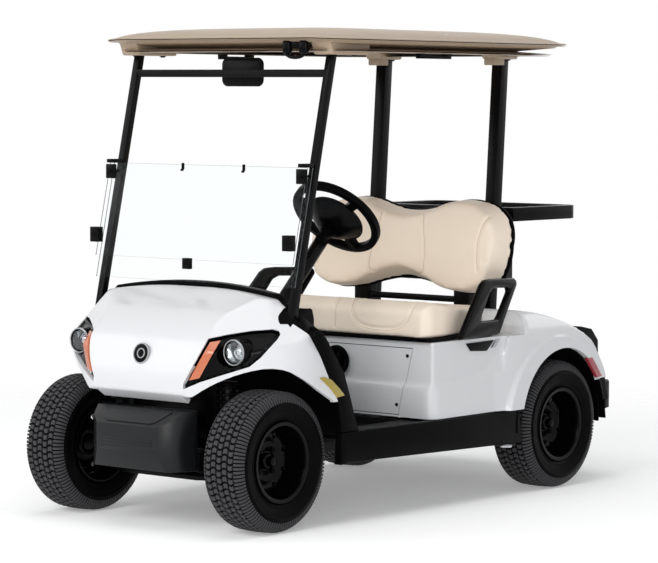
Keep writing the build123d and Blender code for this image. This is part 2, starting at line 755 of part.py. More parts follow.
def roof_crown(drop):
    """The raised middle of the roof, lowered and drawn in by drop."""
    with BuildPart() as crown:
        for inset, height, corner in roof_rows:
            with BuildSketch(Plane.XY.offset(height - drop)):
                add(roof_outline(inset + drop, corner))
        loft(ruled=True)
    return crown.part


with BuildPart() as roof:
    with BuildSketch(Plane.XY.offset(1724)):
        add(roof_outline(0, roof_corner))
    extrude(amount=12)
    with BuildSketch(Plane.XY.offset(1704)):
        add(roof_outline(64, 110))
    with BuildSketch(Plane.XY.offset(1724)):
        add(roof_outline(40, 120))
    loft(ruled=True)
    add(roof_crown(0))
    add(roof_crown(6), mode=Mode.SUBTRACT)
    with BuildSketch(Plane.XY.offset(1690)):
        add(roof_outline(170, 90))
    extrude(amount=50, mode=Mode.SUBTRACT)
    for pad_x in (-pillar_x, pillar_x):
        with Locations((pad_x, -600, 1694)):
            Box(90, 210, 30, align=(Align.CENTER, Align.CENTER, Align.MIN))
    for pad_x in (-strut_x, strut_x):
        with Locations((pad_x, 664, 1694)):
            Box(90, 120, 40, align=(Align.CENTER, Align.CENTER, Align.MIN))
roof.part.label = "roof"
export_step(roof.part, "parts/roof.step")

with BuildPart() as roof_handles:
    for side in (-1, 1):
        for foot_y in (-120, 40):
            with Locations((side * 488, foot_y, 1690)):
                Box(26, 30, 13.5, align=(Align.CENTER, Align.CENTER, Align.MIN))
        with Locations((side * 488, -40, 1680)):
            Box(24, 190, 12, align=(Align.CENTER, Align.CENTER, Align.MIN))
roof_handles.part.label = "roof_handles"
export_step(roof_handles.part, "parts/roof_handles.step")

# ---- Pillars, windshield and mirror -----------------------------------------------------------------
pillar_slope = (pillar_head[0] - pillar_foot[0]) / (pillar_head[1] - pillar_foot[1])


def pillar_y(height, ahead=0):
    """The pillar's middle line at a height, or a line that runs ahead of it."""
    return pillar_foot[0] + pillar_slope * (height - pillar_foot[1]) - ahead


with BuildPart() as front_pillars:
    with BuildSketch(Plane.YZ.offset(pillar_x - pillar_size / 2)):
        with BuildLine():
            Line((pillar_y(706, 14), 706), (pillar_y(1693.5, 14), 1693.5))
            Line((pillar_y(1693.5, 14), 1693.5), (pillar_y(1693.5, -14), 1693.5))
            Line((pillar_y(1693.5, -14), 1693.5), (pillar_y(706, -14), 706))
            Line((pillar_y(706, -14), 706), (pillar_y(706, 14), 706))
        make_face()
    extrude(amount=pillar_size)
    mirror(about=Plane.YZ)
    with BuildSketch(Plane.YZ.offset(-pillar_x)):
        with Locations((pillar_y(1621), 1621)):
            Rectangle(24, 28)
    extrude(amount=2 * pillar_x)
front_pillars.part.label = "front_pillars"
export_step(front_pillars.part, "parts/front_pillars.step")

with BuildPart() as mirror_head:
    with BuildSketch(Plane.XZ.offset(580)):
        with Locations((20, 1626)):
            RectangleRounded(196, 106, 26)
    extrude(amount=14)
    with Locations((20, -609, 1621)):
        Box(24, 29, 20)
mirror_head.part.label = "mirror"
export_step(mirror_head.part, "parts/mirror.step")


def glass_pane(low_z, high_z, ahead, half_width):
    """A flat pane that lies parallel to the pillars, ahead of them."""
    with BuildPart() as pane:
        with BuildSketch(Plane.YZ.offset(-half_width)):
            with BuildLine():
                Polyline((pillar_y(low_z, ahead), low_z), (pillar_y(high_z, ahead), high_z))
                Polyline((pillar_y(high_z, ahead), high_z), (pillar_y(high_z, ahead + 5), high_z))
                Polyline((pillar_y(high_z, ahead + 5), high_z), (pillar_y(low_z, ahead + 5), low_z))
                Line((pillar_y(low_z, ahead + 5), low_z), (pillar_y(low_z, ahead), low_z))
            make_face()
        extrude(amount=2 * half_width)
    return pane.part


with BuildPart() as windshield:
    add(glass_pane(862, 1285, 26, 484))
    add(glass_pane(942, 1285, 52, 480))
windshield.part.label = "windshield"
export_step(windshield.part, "parts/windshield.step")

with BuildPart() as windshield_fittings:
    for side in (-1, 1):
        with Locations((side * 466, pillar_y(1287, 48), 1293)):
            Box(30, 54, 14)
        with Locations((side * 468, pillar_y(1020, 82), 1020)):
            Box(40, 30, 56)
    with Locations((0, pillar_y(930, 76), 930)):
        Box(34, 20, 40)
windshield_fittings.part.label = "windshield_fittings"
export_step(windshield_fittings.part, "parts/windshield_fittings.step")

# ---- Rear struts, rack and basket ---------------------------------------------------------------------
strut_slope = (strut_head[0] - strut_foot[0]) / (strut_head[1] - strut_foot[1])


def strut_y(height):
    """The rear strut's middle line at a height."""
    return strut_foot[0] + strut_slope * (height - strut_foot[1])


with BuildPart() as rear_struts:
    with BuildSketch(Plane.YZ.offset(strut_x - strut_size / 2)):
        with BuildLine():
            Line((strut_y(386) - 24, 386), (strut_y(1693.5) - 24, 1693.5))
            Line((strut_y(1693.5) - 24, 1693.5), (strut_y(1693.5) + 24, 1693.5))
            Line((strut_y(1693.5) + 24, 1693.5), (strut_y(386) + 24, 386))
            Line((strut_y(386) + 24, 386), (strut_y(386) - 24, 386))
        make_face()
    extrude(amount=strut_size)
    mirror(about=Plane.YZ)
rear_struts.part.label = "rear_struts"
export_step(rear_struts.part, "parts/rear_struts.step")

rack_z = 1074
rack_height = 54
rack_front_y = strut_y(rack_z) + 28
rack_rear_y = 1118
with BuildPart() as bag_rack:
    with BuildSketch(Plane.XY.offset(rack_z - rack_height / 2)):
        with BuildLine():
            Polyline((-372, rack_front_y), (372, rack_front_y), (372, 1040))
            ThreePointArc((372, 1040), (350, 1096), (290, rack_rear_y))
            Line((290, rack_rear_y), (-290, rack_rear_y))
            ThreePointArc((-290, rack_rear_y), (-350, 1096), (-372, 1040))
            Line((-372, 1040), (-372, rack_front_y))
        make_face()
        with Locations((0, (rack_front_y + rack_rear_y) / 2)):
            RectangleRounded(660, rack_rear_y - rack_front_y - 84, 30, mode=Mode.SUBTRACT)
    extrude(amount=rack_height)
bag_rack.part.label = "bag_rack"
export_step(bag_rack.part, "parts/bag_rack.step")

with BuildPart() as basket:
    with Locations((0, 640, 800)):
        Box(520, 160, 130, align=(Align.CENTER, Align.MIN, Align.MIN))
    with Locations((0, 644, 804)):
        Box(512, 152, 130, align=(Align.CENTER, Align.MIN, Align.MIN), mode=Mode.SUBTRACT)
    with Locations((0, 628, 880)):
        Box(2 * strut_x - strut_size - 4, 12, 50, align=(Align.CENTER, Align.MIN, Align.MIN))
basket.part.label = "basket"
export_step(basket.part, "parts/basket.step")

# ---- Engine, axles and suspension -----------------------------------------------------------------------
with BuildPart() as engine:
    with Locations((0, 100, 300)):
        Box(330, 370, 270, align=(Align.CENTER, Align.MIN, Align.MIN))
engine.part.label = "engine"
export_step(engine.part, "parts/engine.step")

axle_radius = 32
with BuildPart() as rear_axle:
    with BuildSketch(Plane.YZ.offset(-402)):
        with Locations((rear_axle_y, tyre_radius)):
            Circle(axle_radius)
    extrude(amount=804)
    with Locations((0, rear_axle_y - 30, tyre_radius)):
        Box(240, 220, 130)
    for side in (-1, 1):
        with BuildSketch(Plane.YZ.offset(side * 390)):
            with Locations((rear_axle_y, tyre_radius)):
                Circle(84)
        extrude(amount=side * 40)
rear_axle.part.label = "rear_axle"
export_step(rear_axle.part, "parts/rear_axle.step")

with BuildPart() as rear_suspension:
    for side in (-1, 1):
        with Locations((side * 290, rear_axle_y - 62, 225)):
            Cylinder(26, 160, align=(Align.CENTER, Align.CENTER, Align.MIN))
        with Locations((side * 250, rear_axle_y - 62, 385.5)):
            Box(140, 56, 12, align=(Align.CENTER, Align.CENTER, Align.MIN))
        with Locations((side * 290, 470, 236)):
            Box(30, 180, 26, align=(Align.CENTER, Align.MIN, Align.MIN))
rear_suspension.part.label = "rear_suspension"
export_step(rear_suspension.part, "parts/rear_suspension.step")

king_pin_x = 325
arm_low_z = 168
with BuildPart() as front_suspension:
    with BuildSketch(Plane.XY.offset(arm_low_z)):
        with BuildLine():
            Polyline((-300, -955), (-300, -925), (-180, -860), (180, -860), (300, -925), (300, -955))
            Polyline((300, -955), (180, -1020), (-180, -1020), (-300, -955))
        make_face()
    extrude(amount=16)
    for side in (-1, 1):
        with Locations((side * 258, front_axle_y, arm_low_z + 10)):
            Cylinder(28, 333.5, align=(Align.CENTER, Align.CENTER, Align.MIN))
front_suspension.part.label = "front_suspension"
export_step(front_suspension.part, "parts/front_suspension.step")

# ---- Front knuckles ---------------------------------------------------------------------------------
spindle_end_x = 389
steering_arm = 100
steering_arm_z = arm_low_z + 22
for side, side_name in ((1, "left"), (-1, "right")):
    with BuildPart() as knuckle:
        with Locations((side * king_pin_x, front_axle_y, arm_low_z + 22)):
            Cylinder(18, 150, align=(Align.CENTER, Align.CENTER, Align.MIN))
        with BuildSketch(Plane.YZ.offset(side * king_pin_x)):
            with Locations((front_axle_y, tyre_radius)):
                Circle(15)
        extrude(amount=side * (spindle_end_x - king_pin_x))
        with BuildSketch(Plane.XY.offset(steering_arm_z)):
            with Locations((side * (king_pin_x - 6), front_axle_y + steering_arm / 2)):
                Rectangle(24, steering_arm + 16)
        extrude(amount=14)
    knuckle.part.label = "knuckle_" + side_name
    export_step(knuckle.part, "parts/knuckle_" + side_name + ".step")

# ---- Wheels -----------------------------------------------------------------------------------------
# Each row: name, side, track and axle.
wheels = (
    ("front_left", 1, front_half_track, front_axle_y),
    ("front_right", -1, front_half_track, front_axle_y),
    ("rear_left", 1, rear_half_track, rear_axle_y),
    ("rear_right", -1, rear_half_track, rear_axle_y),
)
for wheel_name, side, half_track, axle_y in wheels:
    centre = (side * half_track, axle_y, tyre_radius)
    centre_plane = Plane(origin=centre, x_dir=(0, 0, 1), z_dir=(0, -side, 0))
    spin_axis = Axis(centre, (1, 0, 0))
    with BuildPart() as tyre:
        with BuildSketch(centre_plane):
            with BuildLine():
                Polyline((bead_radius + 14, -73), (bead_radius, -70), (bead_radius, 70))
                Line((bead_radius, 70), (bead_radius + 14, 73))
                ThreePointArc((bead_radius + 14, 73), (190, tyre_width / 2), (228, 84))
                ThreePointArc((228, 84), (241, 75), (tyre_radius - 4, 60))
                ThreePointArc((tyre_radius - 4, 60), (tyre_radius, 0), (tyre_radius - 4, -60))
                ThreePointArc((tyre_radius - 4, -60), (241, -75), (228, -84))
                ThreePointArc((228, -84), (190, -tyre_width / 2), (bead_radius + 14, -73))
            make_face()
        revolve(axis=spin_axis)
    tyre.part.label = "tyre_" + wheel_name
    export_step(tyre.part, "parts/tyre_" + wheel_name + ".step")
    with BuildPart() as rim:
        with BuildSketch(centre_plane):
            with BuildLine():
                Polyline((bead_radius + 12, 81), (bead_radius + 12, 75), (bead_radius - 0.5, 75))
                Polyline((bead_radius - 0.5, 75), (bead_radius - 0.5, -75), (bead_radius + 12, -75))
                Polyline((bead_radius + 12, -75), (bead_radius + 12, -81), (bead_radius - 5, -81))
                Polyline((bead_radius - 5, -81), (bead_radius - 14, -30), (bead_radius - 14, 4))
                Polyline((bead_radius - 14, 4), (30, 4), (30, 10), (bead_radius - 14, 10))
                Polyline((bead_radius - 14, 10), (bead_radius - 14, 40), (bead_radius - 5, 81))
                Line((bead_radius - 5, 81), (bead_radius + 12, 81))
            make_face()
        revolve(axis=spin_axis)
        with BuildSketch(centre_plane):
            with BuildLine():
                Polyline((0, -12), (34, -12), (34, 26), (28, 44), (0, 44), (0, -12))
            make_face()
        revolve(axis=spin_axis)
    rim.part.label = "rim_" + wheel_name
    export_step(rim.part, "parts/rim_" + wheel_name + ".step")

# ---- Steering ---------------------------------------------------------------------------------------
with BuildPart() as steering_column:
    with BuildSketch(column_plane.offset(column_top - column_length)):
        Circle(column_radius)
    extrude(amount=column_length)
steering_column.part.label = "steering_column"
export_step(steering_column.part, "parts/steering_column.step")

rim_radius = 164
with BuildPart() as steering_wheel:
    with BuildSketch(column_plane):
        Circle(rim_radius + 14)
        Circle(rim_radius - 14, mode=Mode.SUBTRACT)
        with PolarLocations(rim_radius / 2, 3, start_angle=90):
            Rectangle(rim_radius, 34)
        Circle(58)
    extrude(amount=13, both=True)
    with BuildSketch(column_plane.offset(-64)):
        Circle(34)
    extrude(amount=60)
steering_wheel.part.label = "steering_wheel"
export_step(steering_wheel.part, "parts/steering_wheel.step")

rack_y = front_axle_y + steering_arm
with BuildPart() as steering_rack:
    with BuildSketch(Plane.YZ.offset(-(king_pin_x - 22))):
        with Locations((rack_y, steering_arm_z + 2)):
            Circle(8)
    extrude(amount=2 * (king_pin_x - 22))
steering_rack.part.label = "steering_rack"
export_step(steering_rack.part, "parts/steering_rack.step")

with BuildPart() as pedals:
    for pedal_x, pedal_width in ((200, 60), (292, 50)):
        with BuildSketch(Plane.YZ.offset(pedal_x - pedal_width / 2)):
            with BuildLine():
                Polyline((-628, 452), (-572, 372), (-564, 378), (-620, 458), (-628, 452))
            make_face()
        extrude(amount=pedal_width)
pedals.part.label = "pedals"
export_step(pedals.part, "parts/pedals.step")
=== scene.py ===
import json
import math

import bmesh
import bpy
import numpy as np
from bpy.props import FloatProperty, FloatVectorProperty, IntProperty, PointerProperty
from mathutils import Matrix, Vector

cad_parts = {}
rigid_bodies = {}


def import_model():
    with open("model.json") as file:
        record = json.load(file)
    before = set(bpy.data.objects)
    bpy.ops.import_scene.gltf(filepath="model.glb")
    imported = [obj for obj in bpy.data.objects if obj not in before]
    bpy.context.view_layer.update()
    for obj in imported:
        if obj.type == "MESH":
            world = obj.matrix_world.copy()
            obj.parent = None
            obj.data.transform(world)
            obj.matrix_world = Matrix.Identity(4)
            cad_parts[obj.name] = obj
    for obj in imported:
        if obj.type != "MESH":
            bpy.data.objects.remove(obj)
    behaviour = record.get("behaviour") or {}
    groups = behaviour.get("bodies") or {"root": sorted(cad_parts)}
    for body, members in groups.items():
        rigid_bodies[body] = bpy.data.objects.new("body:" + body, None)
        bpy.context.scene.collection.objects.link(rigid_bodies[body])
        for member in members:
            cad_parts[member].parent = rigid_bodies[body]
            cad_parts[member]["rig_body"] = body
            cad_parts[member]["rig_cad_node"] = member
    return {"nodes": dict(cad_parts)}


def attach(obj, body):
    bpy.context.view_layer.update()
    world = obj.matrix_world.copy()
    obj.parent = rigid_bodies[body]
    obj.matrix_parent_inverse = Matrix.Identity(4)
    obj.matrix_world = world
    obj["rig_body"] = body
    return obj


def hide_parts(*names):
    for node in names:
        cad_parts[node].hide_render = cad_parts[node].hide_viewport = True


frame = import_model()

bl_info = {
    "name": "Golf cart",
    "version": (1, 0, 0),
    "blender": (4, 5, 0),
    "location": "3D View > Sidebar > Golf Cart",
    "description": "Dresses the frame of a two-seat golf cart with its bodywork, seat, wheels and fittings",
    "category": "Object",
}

MM = 0.001
CHASSIS = "chassis"

# The body's driving values, in millimetres, as in the frame: +X driver's side, -Y front, +Z up.
POD_FRONT_Y, POD_TOP_Z, BODY_LOW_Z = -130, 625, 338
POD_HALF, FENDER_HALF = 565, 598
WELL_Y = 700
WHEEL_CENTRE, COLUMN_AXIS = (240, -305, 1090), (0, math.cos(math.radians(44)), math.sin(math.radians(44)))
DECK_Z = 715
TYRE_RADIUS, BEAD_RADIUS = 252, 133
WHEELS = (
    ("front_left", 1, 435, -940),
    ("front_right", -1, 435, -940),
    ("rear_left", 1, 490, 700),
    ("rear_right", -1, 490, 700),
)


# ---- Small tools -----------------------------------------------------------------------------------
def colour(code):
    """An sRGB hex colour such as "#E8E9EB" as the linear RGBA that Blender's sockets take."""
    parts = [int(code[i:i + 2], 16) / 255 for i in (1, 3, 5)]
    return tuple(c / 12.92 if c <= 0.04045 else ((c + 0.055) / 1.055) ** 2.4 for c in parts) + (1.0,)


def deselect():
    if bpy.context.mode != "OBJECT":
        bpy.ops.object.mode_set(mode="OBJECT")
    bpy.ops.object.select_all(action="DESELECT")


def pick(*objs):
    """Select only these objects; the last one becomes active."""
    deselect()
    for obj in objs:
        obj.select_set(True)
    bpy.context.view_layer.objects.active = objs[-1]
    return objs[-1]


def edit(obj, faces=None, edges=None):
    """Enter edit mode on obj with everything selected, or only the faces or edges that a test picks."""
    pick(obj)
    bpy.ops.object.mode_set(mode="EDIT")
    mode = "EDGE" if edges else "FACE"
    bpy.ops.mesh.select_mode(type=mode)
    if faces is None and edges is None:
        bpy.ops.mesh.select_all(action="SELECT")
        return
    bpy.ops.mesh.select_all(action="DESELECT")
    mesh = bmesh.from_edit_mesh(obj.data)
    for element in mesh.edges if edges else mesh.faces:
        element.select_set(bool((edges or faces)(element)))
    mesh.select_flush_mode()
    bmesh.update_edit_mesh(obj.data)


def done(obj):
    """Leave edit mode."""
    bpy.ops.object.mode_set(mode="OBJECT")
    return obj


def settle(obj):
    """Put the object's place into its mesh, so that it stands at the origin, unturned and unscaled."""
    pick(obj)
    bpy.ops.object.transform_apply(location=True, rotation=True, scale=True)
    return obj


def modify(obj, kind, **settings):
    """Add a modifier with its settings and apply it."""
    pick(obj)
    added = obj.modifiers.new(kind, kind)
    for name, value in settings.items():
        setattr(added, name, value)
    bpy.ops.object.modifier_apply(modifier=added.name)
    return obj


def outward(obj):
    """Merge doubles and point every face out."""
    edit(obj)
    bpy.ops.mesh.remove_doubles(threshold=1e-6)
    bpy.ops.mesh.normals_make_consistent(inside=False)
    return done(obj)


def soften(obj, width=3, segments=2, angle=32):
    """Round every edge sharper than angle to width millimetres, and shade the rest smooth."""
    if width:
        modify(obj, "BEVEL", width=width * MM, segments=segments, limit_method="ANGLE",
               angle_limit=math.radians(angle), use_clamp_overlap=True, miter_outer="MITER_ARC")
    pick(obj)
    bpy.ops.object.shade_smooth_by_angle(angle=math.radians(angle))
    return obj


def combine(objs, name):
    """Join several objects into one named piece."""
    pick(*objs)
    if len(objs) > 1:
        bpy.ops.object.join()
    made = bpy.context.object
    made.name = name
    return made


def copied(obj, name=None):
    """A copy of obj with its own mesh."""
    pick(obj)
    bpy.ops.object.duplicate()
    made = bpy.context.object
    made.name = name or obj.name
    return made


def reflected(obj):
    """Join obj with its mirror image across X 0."""
    return modify(obj, "MIRROR", use_axis=(True, False, False), use_mirror_merge=False)


def cut(obj, tool, how="DIFFERENCE", keep=False):
    """Boolean obj with tool, which is deleted unless kept."""
    modify(obj, "BOOLEAN", operation=how, object=tool, solver="EXACT")
    if not keep:
        bpy.data.objects.remove(tool)
    return obj


def arc(start, middle, end, steps=8):
    """Points on the circle through three points, from start to just before end."""
    ax, ay, bx, by, cx, cy = *start, *middle, *end
    d = 2 * (ax * (by - cy) + bx * (cy - ay) + cx * (ay - by))
    a, b, c = ax * ax + ay * ay, bx * bx + by * by, cx * cx + cy * cy
    ux = (a * (by - cy) + b * (cy - ay) + c * (ay - by)) / d
    uy = (a * (cx - bx) + b * (ax - cx) + c * (bx - ax)) / d
    first, mid, last = (math.atan2(y - uy, x - ux) for x, y in (start, middle, end))
    turn = (last - first) % math.tau
    if (mid - first) % math.tau > turn:
        turn -= math.tau
    radius = math.hypot(ax - ux, ay - uy)
    return [(ux + radius * math.cos(first + turn * i / steps), uy + radius * math.sin(first + turn * i / steps))
            for i in range(steps)]


def both_sides(points):
    """An outline given from the middle to the middle on +X, closed with its mirror image."""
    return list(points) + [(-x, y) for x, y in reversed(points) if abs(x) > 1e-6]


PLANES = {"YZ": (1, 2, 0), "XZ": (0, 2, 1), "XY": (0, 1, 2)}


def prism(name, plane, outline, low, high):
    """A flat outline in a main plane, extruded from low to high millimetres along the third axis."""
    u, v, w = PLANES[plane]
    deselect()
    bpy.ops.mesh.primitive_circle_add(vertices=len(outline), radius=1, fill_type="NGON")
    made = bpy.context.object
    made.name = name
    for vertex, point in zip(made.data.vertices, outline):
        place = [0, 0, 0]
        place[u], place[v], place[w] = point[0] * MM, point[1] * MM, low * MM
        vertex.co = place
    travel = [0, 0, 0]
    travel[w] = (high - low) * MM
    edit(made)
    bpy.ops.mesh.extrude_region_move(TRANSFORM_OT_translate={"value": travel})
    done(made)
    return outward(made)


def wedge(name, plane, near_outline, near, far_outline, far):
    """A prism whose far end has its own outline, with as many points as the near one."""
    made = prism(name, plane, near_outline, near, far)
    u, v, w = PLANES[plane]
    flat = np.array(near_outline, float)
    points = points_of(made)
    for point in points:
        if abs(point[w] - far) < 0.01:
            point[u], point[v] = far_outline[int(np.argmin(np.abs(flat - point[[u, v]]).sum(axis=1)))]
    set_points(made, points)
    return outward(made)


def block(name, low, high, bevel=0, segments=2):
    """A box between two corners in millimetres, its edges rounded."""
    deselect()
    bpy.ops.mesh.primitive_cube_add(size=1, location=[(a + b) / 2 * MM for a, b in zip(low, high)],
                                    scale=[(b - a) * MM for a, b in zip(low, high)])
    made = settle(bpy.context.object)
    made.name = name
    if bevel:
        modify(made, "BEVEL", width=bevel * MM, segments=segments, limit_method="NONE")
    return made


def rod(name, start, end, radius, sides=16, bevel=0, radius_end=None):
    """A round bar between two points in millimetres, or a cone where radius_end is given."""
    a, b = Vector(start) * MM, Vector(end) * MM
    deselect()
    bpy.ops.mesh.primitive_cone_add(vertices=sides, radius1=radius * MM,
                                    radius2=(radius if radius_end is None else radius_end) * MM,
                                    depth=(b - a).length)
    made = bpy.context.object
    made.name = name
    made.matrix_world = Matrix.Translation((a + b) / 2) @ (b - a).to_track_quat("Z", "Y").to_matrix().to_4x4()
    settle(made)
    if bevel:
        modify(made, "BEVEL", width=bevel * MM, segments=2, limit_method="ANGLE", angle_limit=math.radians(50))
    return made


def turned(name, profile, origin, axis, steps=48, closed=False):
    """Spin a profile of (radius, along) millimetres round an axis through origin."""
    deselect()
    bpy.ops.mesh.primitive_circle_add(vertices=len(profile), radius=1, fill_type="NOTHING")
    made = bpy.context.object
    made.name = name
    for vertex, (radius, along) in zip(made.data.vertices, profile):
        vertex.co = (radius * MM, 0, along * MM)
    if not closed:
        edit(made, edges=lambda e: {v.index for v in e.verts} == {0, len(profile) - 1})
        bpy.ops.mesh.delete(type="EDGE_FACE")
        done(made)
    edit(made)
    bpy.ops.mesh.spin(steps=steps, angle=math.tau, center=(0, 0, 0), axis=(0, 0, 1))
    bpy.ops.mesh.select_all(action="SELECT")
    bpy.ops.mesh.remove_doubles(threshold=2e-6)
    bpy.ops.mesh.normals_make_consistent(inside=False)
    done(made)
    made.matrix_world = (Matrix.Translation(Vector(origin) * MM)
                         @ Vector(axis).to_track_quat("Z", "Y").to_matrix().to_4x4())
    return settle(made)


def bent_bar(name, points, radius, sides=12, smooth=3, closed=False):
    """A round bar of the given radius that follows points in millimetres with rounded corners."""
    line = bpy.data.curves.new(name, "CURVE")
    line.dimensions = "3D"
    line.bevel_depth = radius * MM
    line.bevel_resolution = max(1, sides // 4)
    line.use_fill_caps = True
    run = line.splines.new("NURBS")
    run.points.add(len(points) - 1)
    for knot, point in zip(run.points, points):
        knot.co = (*(c * MM for c in point), 1)
    run.order_u = smooth
    run.use_endpoint_u = not closed
    run.use_cyclic_u = closed
    run.resolution_u = 5
    made = bpy.data.objects.new(name, line)
    bpy.context.collection.objects.link(made)
    pick(made)
    bpy.ops.object.convert(target="MESH")
    made = bpy.context.object
    bpy.ops.object.shade_smooth()
    return made


def ring_of(obj, count, origin, axis):
    """Repeat obj count times round an axis through origin (millimetres) with an Array."""
    centre = Vector(origin) * MM
    turn = Matrix.Translation(centre) @ Matrix.Rotation(math.tau / count, 4, Vector(axis)) @ Matrix.Translation(-centre)
    bpy.ops.object.empty_add()
    guide = bpy.context.object
    guide.matrix_world = turn
    bpy.context.view_layer.update()
    modify(obj, "ARRAY", count=count, use_relative_offset=False, use_object_offset=True, offset_object=guide)
    bpy.data.objects.remove(guide)
    return obj


def points_of(obj):
    """The mesh's vertices as an array in millimetres."""
    co = np.zeros(len(obj.data.vertices) * 3, np.float32)
    obj.data.vertices.foreach_get("co", co)
    return co.reshape(-1, 3).astype(float) / MM


def set_points(obj, points):
    """Put an array of millimetres back as the mesh's vertices."""
    obj.data.vertices.foreach_set("co", (points * MM).astype(np.float32).ravel())
    obj.data.update()


def normals_of(obj):
    """The vertices' normals as an array."""
    n = np.zeros(len(obj.data.vertices) * 3, np.float32)
    obj.data.vertex_normals.foreach_get("vector", n)
    return n.reshape(-1, 3).astype(float)


def node_copy(node, name=None, bevel=3, segments=2, angle=32):
    """A copy of a CAD node, merged and with its edges rounded, ready to take the node's place."""
    deselect()
    source = frame["nodes"][node]
    source.hide_set(False)
    pick(source)
    bpy.ops.object.duplicate()
    made = bpy.context.object
    made.name = name or node + "_shell"
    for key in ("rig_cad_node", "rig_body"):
        if key in made:
            del made[key]
    made.parent = None
    edit(made)
    bpy.ops.mesh.remove_doubles(threshold=1e-5)
    bpy.ops.mesh.dissolve_limited(angle_limit=math.radians(0.8))
    done(made)
    made.data.materials.clear()
    return soften(made, bevel, segments, angle)


def place(obj, body, slot, material, replaces=()):
    """Give the piece its material and body, and hide the CAD nodes it stands for. The slot is not used."""
    if material is not None:
        obj.data.materials.clear()
        obj.data.materials.append(MATERIALS[material])
    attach(obj, body)
    if replaces:
        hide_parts(*replaces)
    return obj


# ---- Materials -------------------------------------------------------------------------------------
MATERIALS = {}


def add(tree, kind, links=None, values=None, **settings):
    """Add a shader node with its settings, socket values and incoming links."""
    made = tree.nodes.new("ShaderNode" + kind)
    for name, value in settings.items():
        setattr(made, name, value)
    for name, value in (values or {}).items():
        made.inputs[name].default_value = value
    for name, source in (links or {}).items():
        tree.links.new(source, made.inputs[name])
    return made


def finish(name, base, roughness, grain_mm=None, grain_depth_mm=0.05, tint=0.04, tint_mm=120, spread=0.06, **sockets):
    """A named finish: base colour, a moulded or sprayed grain of a real size, and a slow change of
    colour and gloss over the surface."""
    made = bpy.data.materials.new(name)
    made.use_nodes = True
    tree = made.node_tree
    shader = tree.nodes["Principled BSDF"]
    for socket, value in sockets.items():
        shader.inputs[socket.replace("_", " ").title().replace("Ior", "IOR")].default_value = value
    place_node = add(tree, "TexCoord")
    slow = add(tree, "TexNoise", {"Vector": place_node.outputs["Object"]},
               {"Scale": 1 / (tint_mm * MM), "Detail": 3.0, "Roughness": 0.6})
    rgba = colour(base) if isinstance(base, str) else tuple(base)
    dark = tuple(c * (1 - tint) for c in rgba[:3]) + (1.0,)
    pale = tuple(min(1.0, c * (1 + tint)) for c in rgba[:3]) + (1.0,)
    mix = add(tree, "Mix", {0: slow.outputs["Fac"]}, {6: dark, 7: pale}, data_type="RGBA")
    tree.links.new(mix.outputs[2], shader.inputs["Base Color"])
    gloss = add(tree, "MapRange", {"Value": slow.outputs["Fac"]},
                {"From Min": 0.3, "From Max": 0.7, "To Min": roughness - spread, "To Max": roughness + spread})
    tree.links.new(gloss.outputs["Result"], shader.inputs["Roughness"])
    if grain_mm:
        grain = add(tree, "TexNoise", {"Vector": place_node.outputs["Object"]},
                    {"Scale": 1 / (grain_mm * MM), "Detail": 2.0, "Roughness": 0.5})
        bump = add(tree, "Bump", {"Height": grain.outputs["Fac"]},
                   {"Strength": 1.0, "Distance": grain_depth_mm * MM})
        tree.links.new(bump.outputs["Normal"], shader.inputs["Normal"])
    MATERIALS[name] = made
    return made, tree, shader


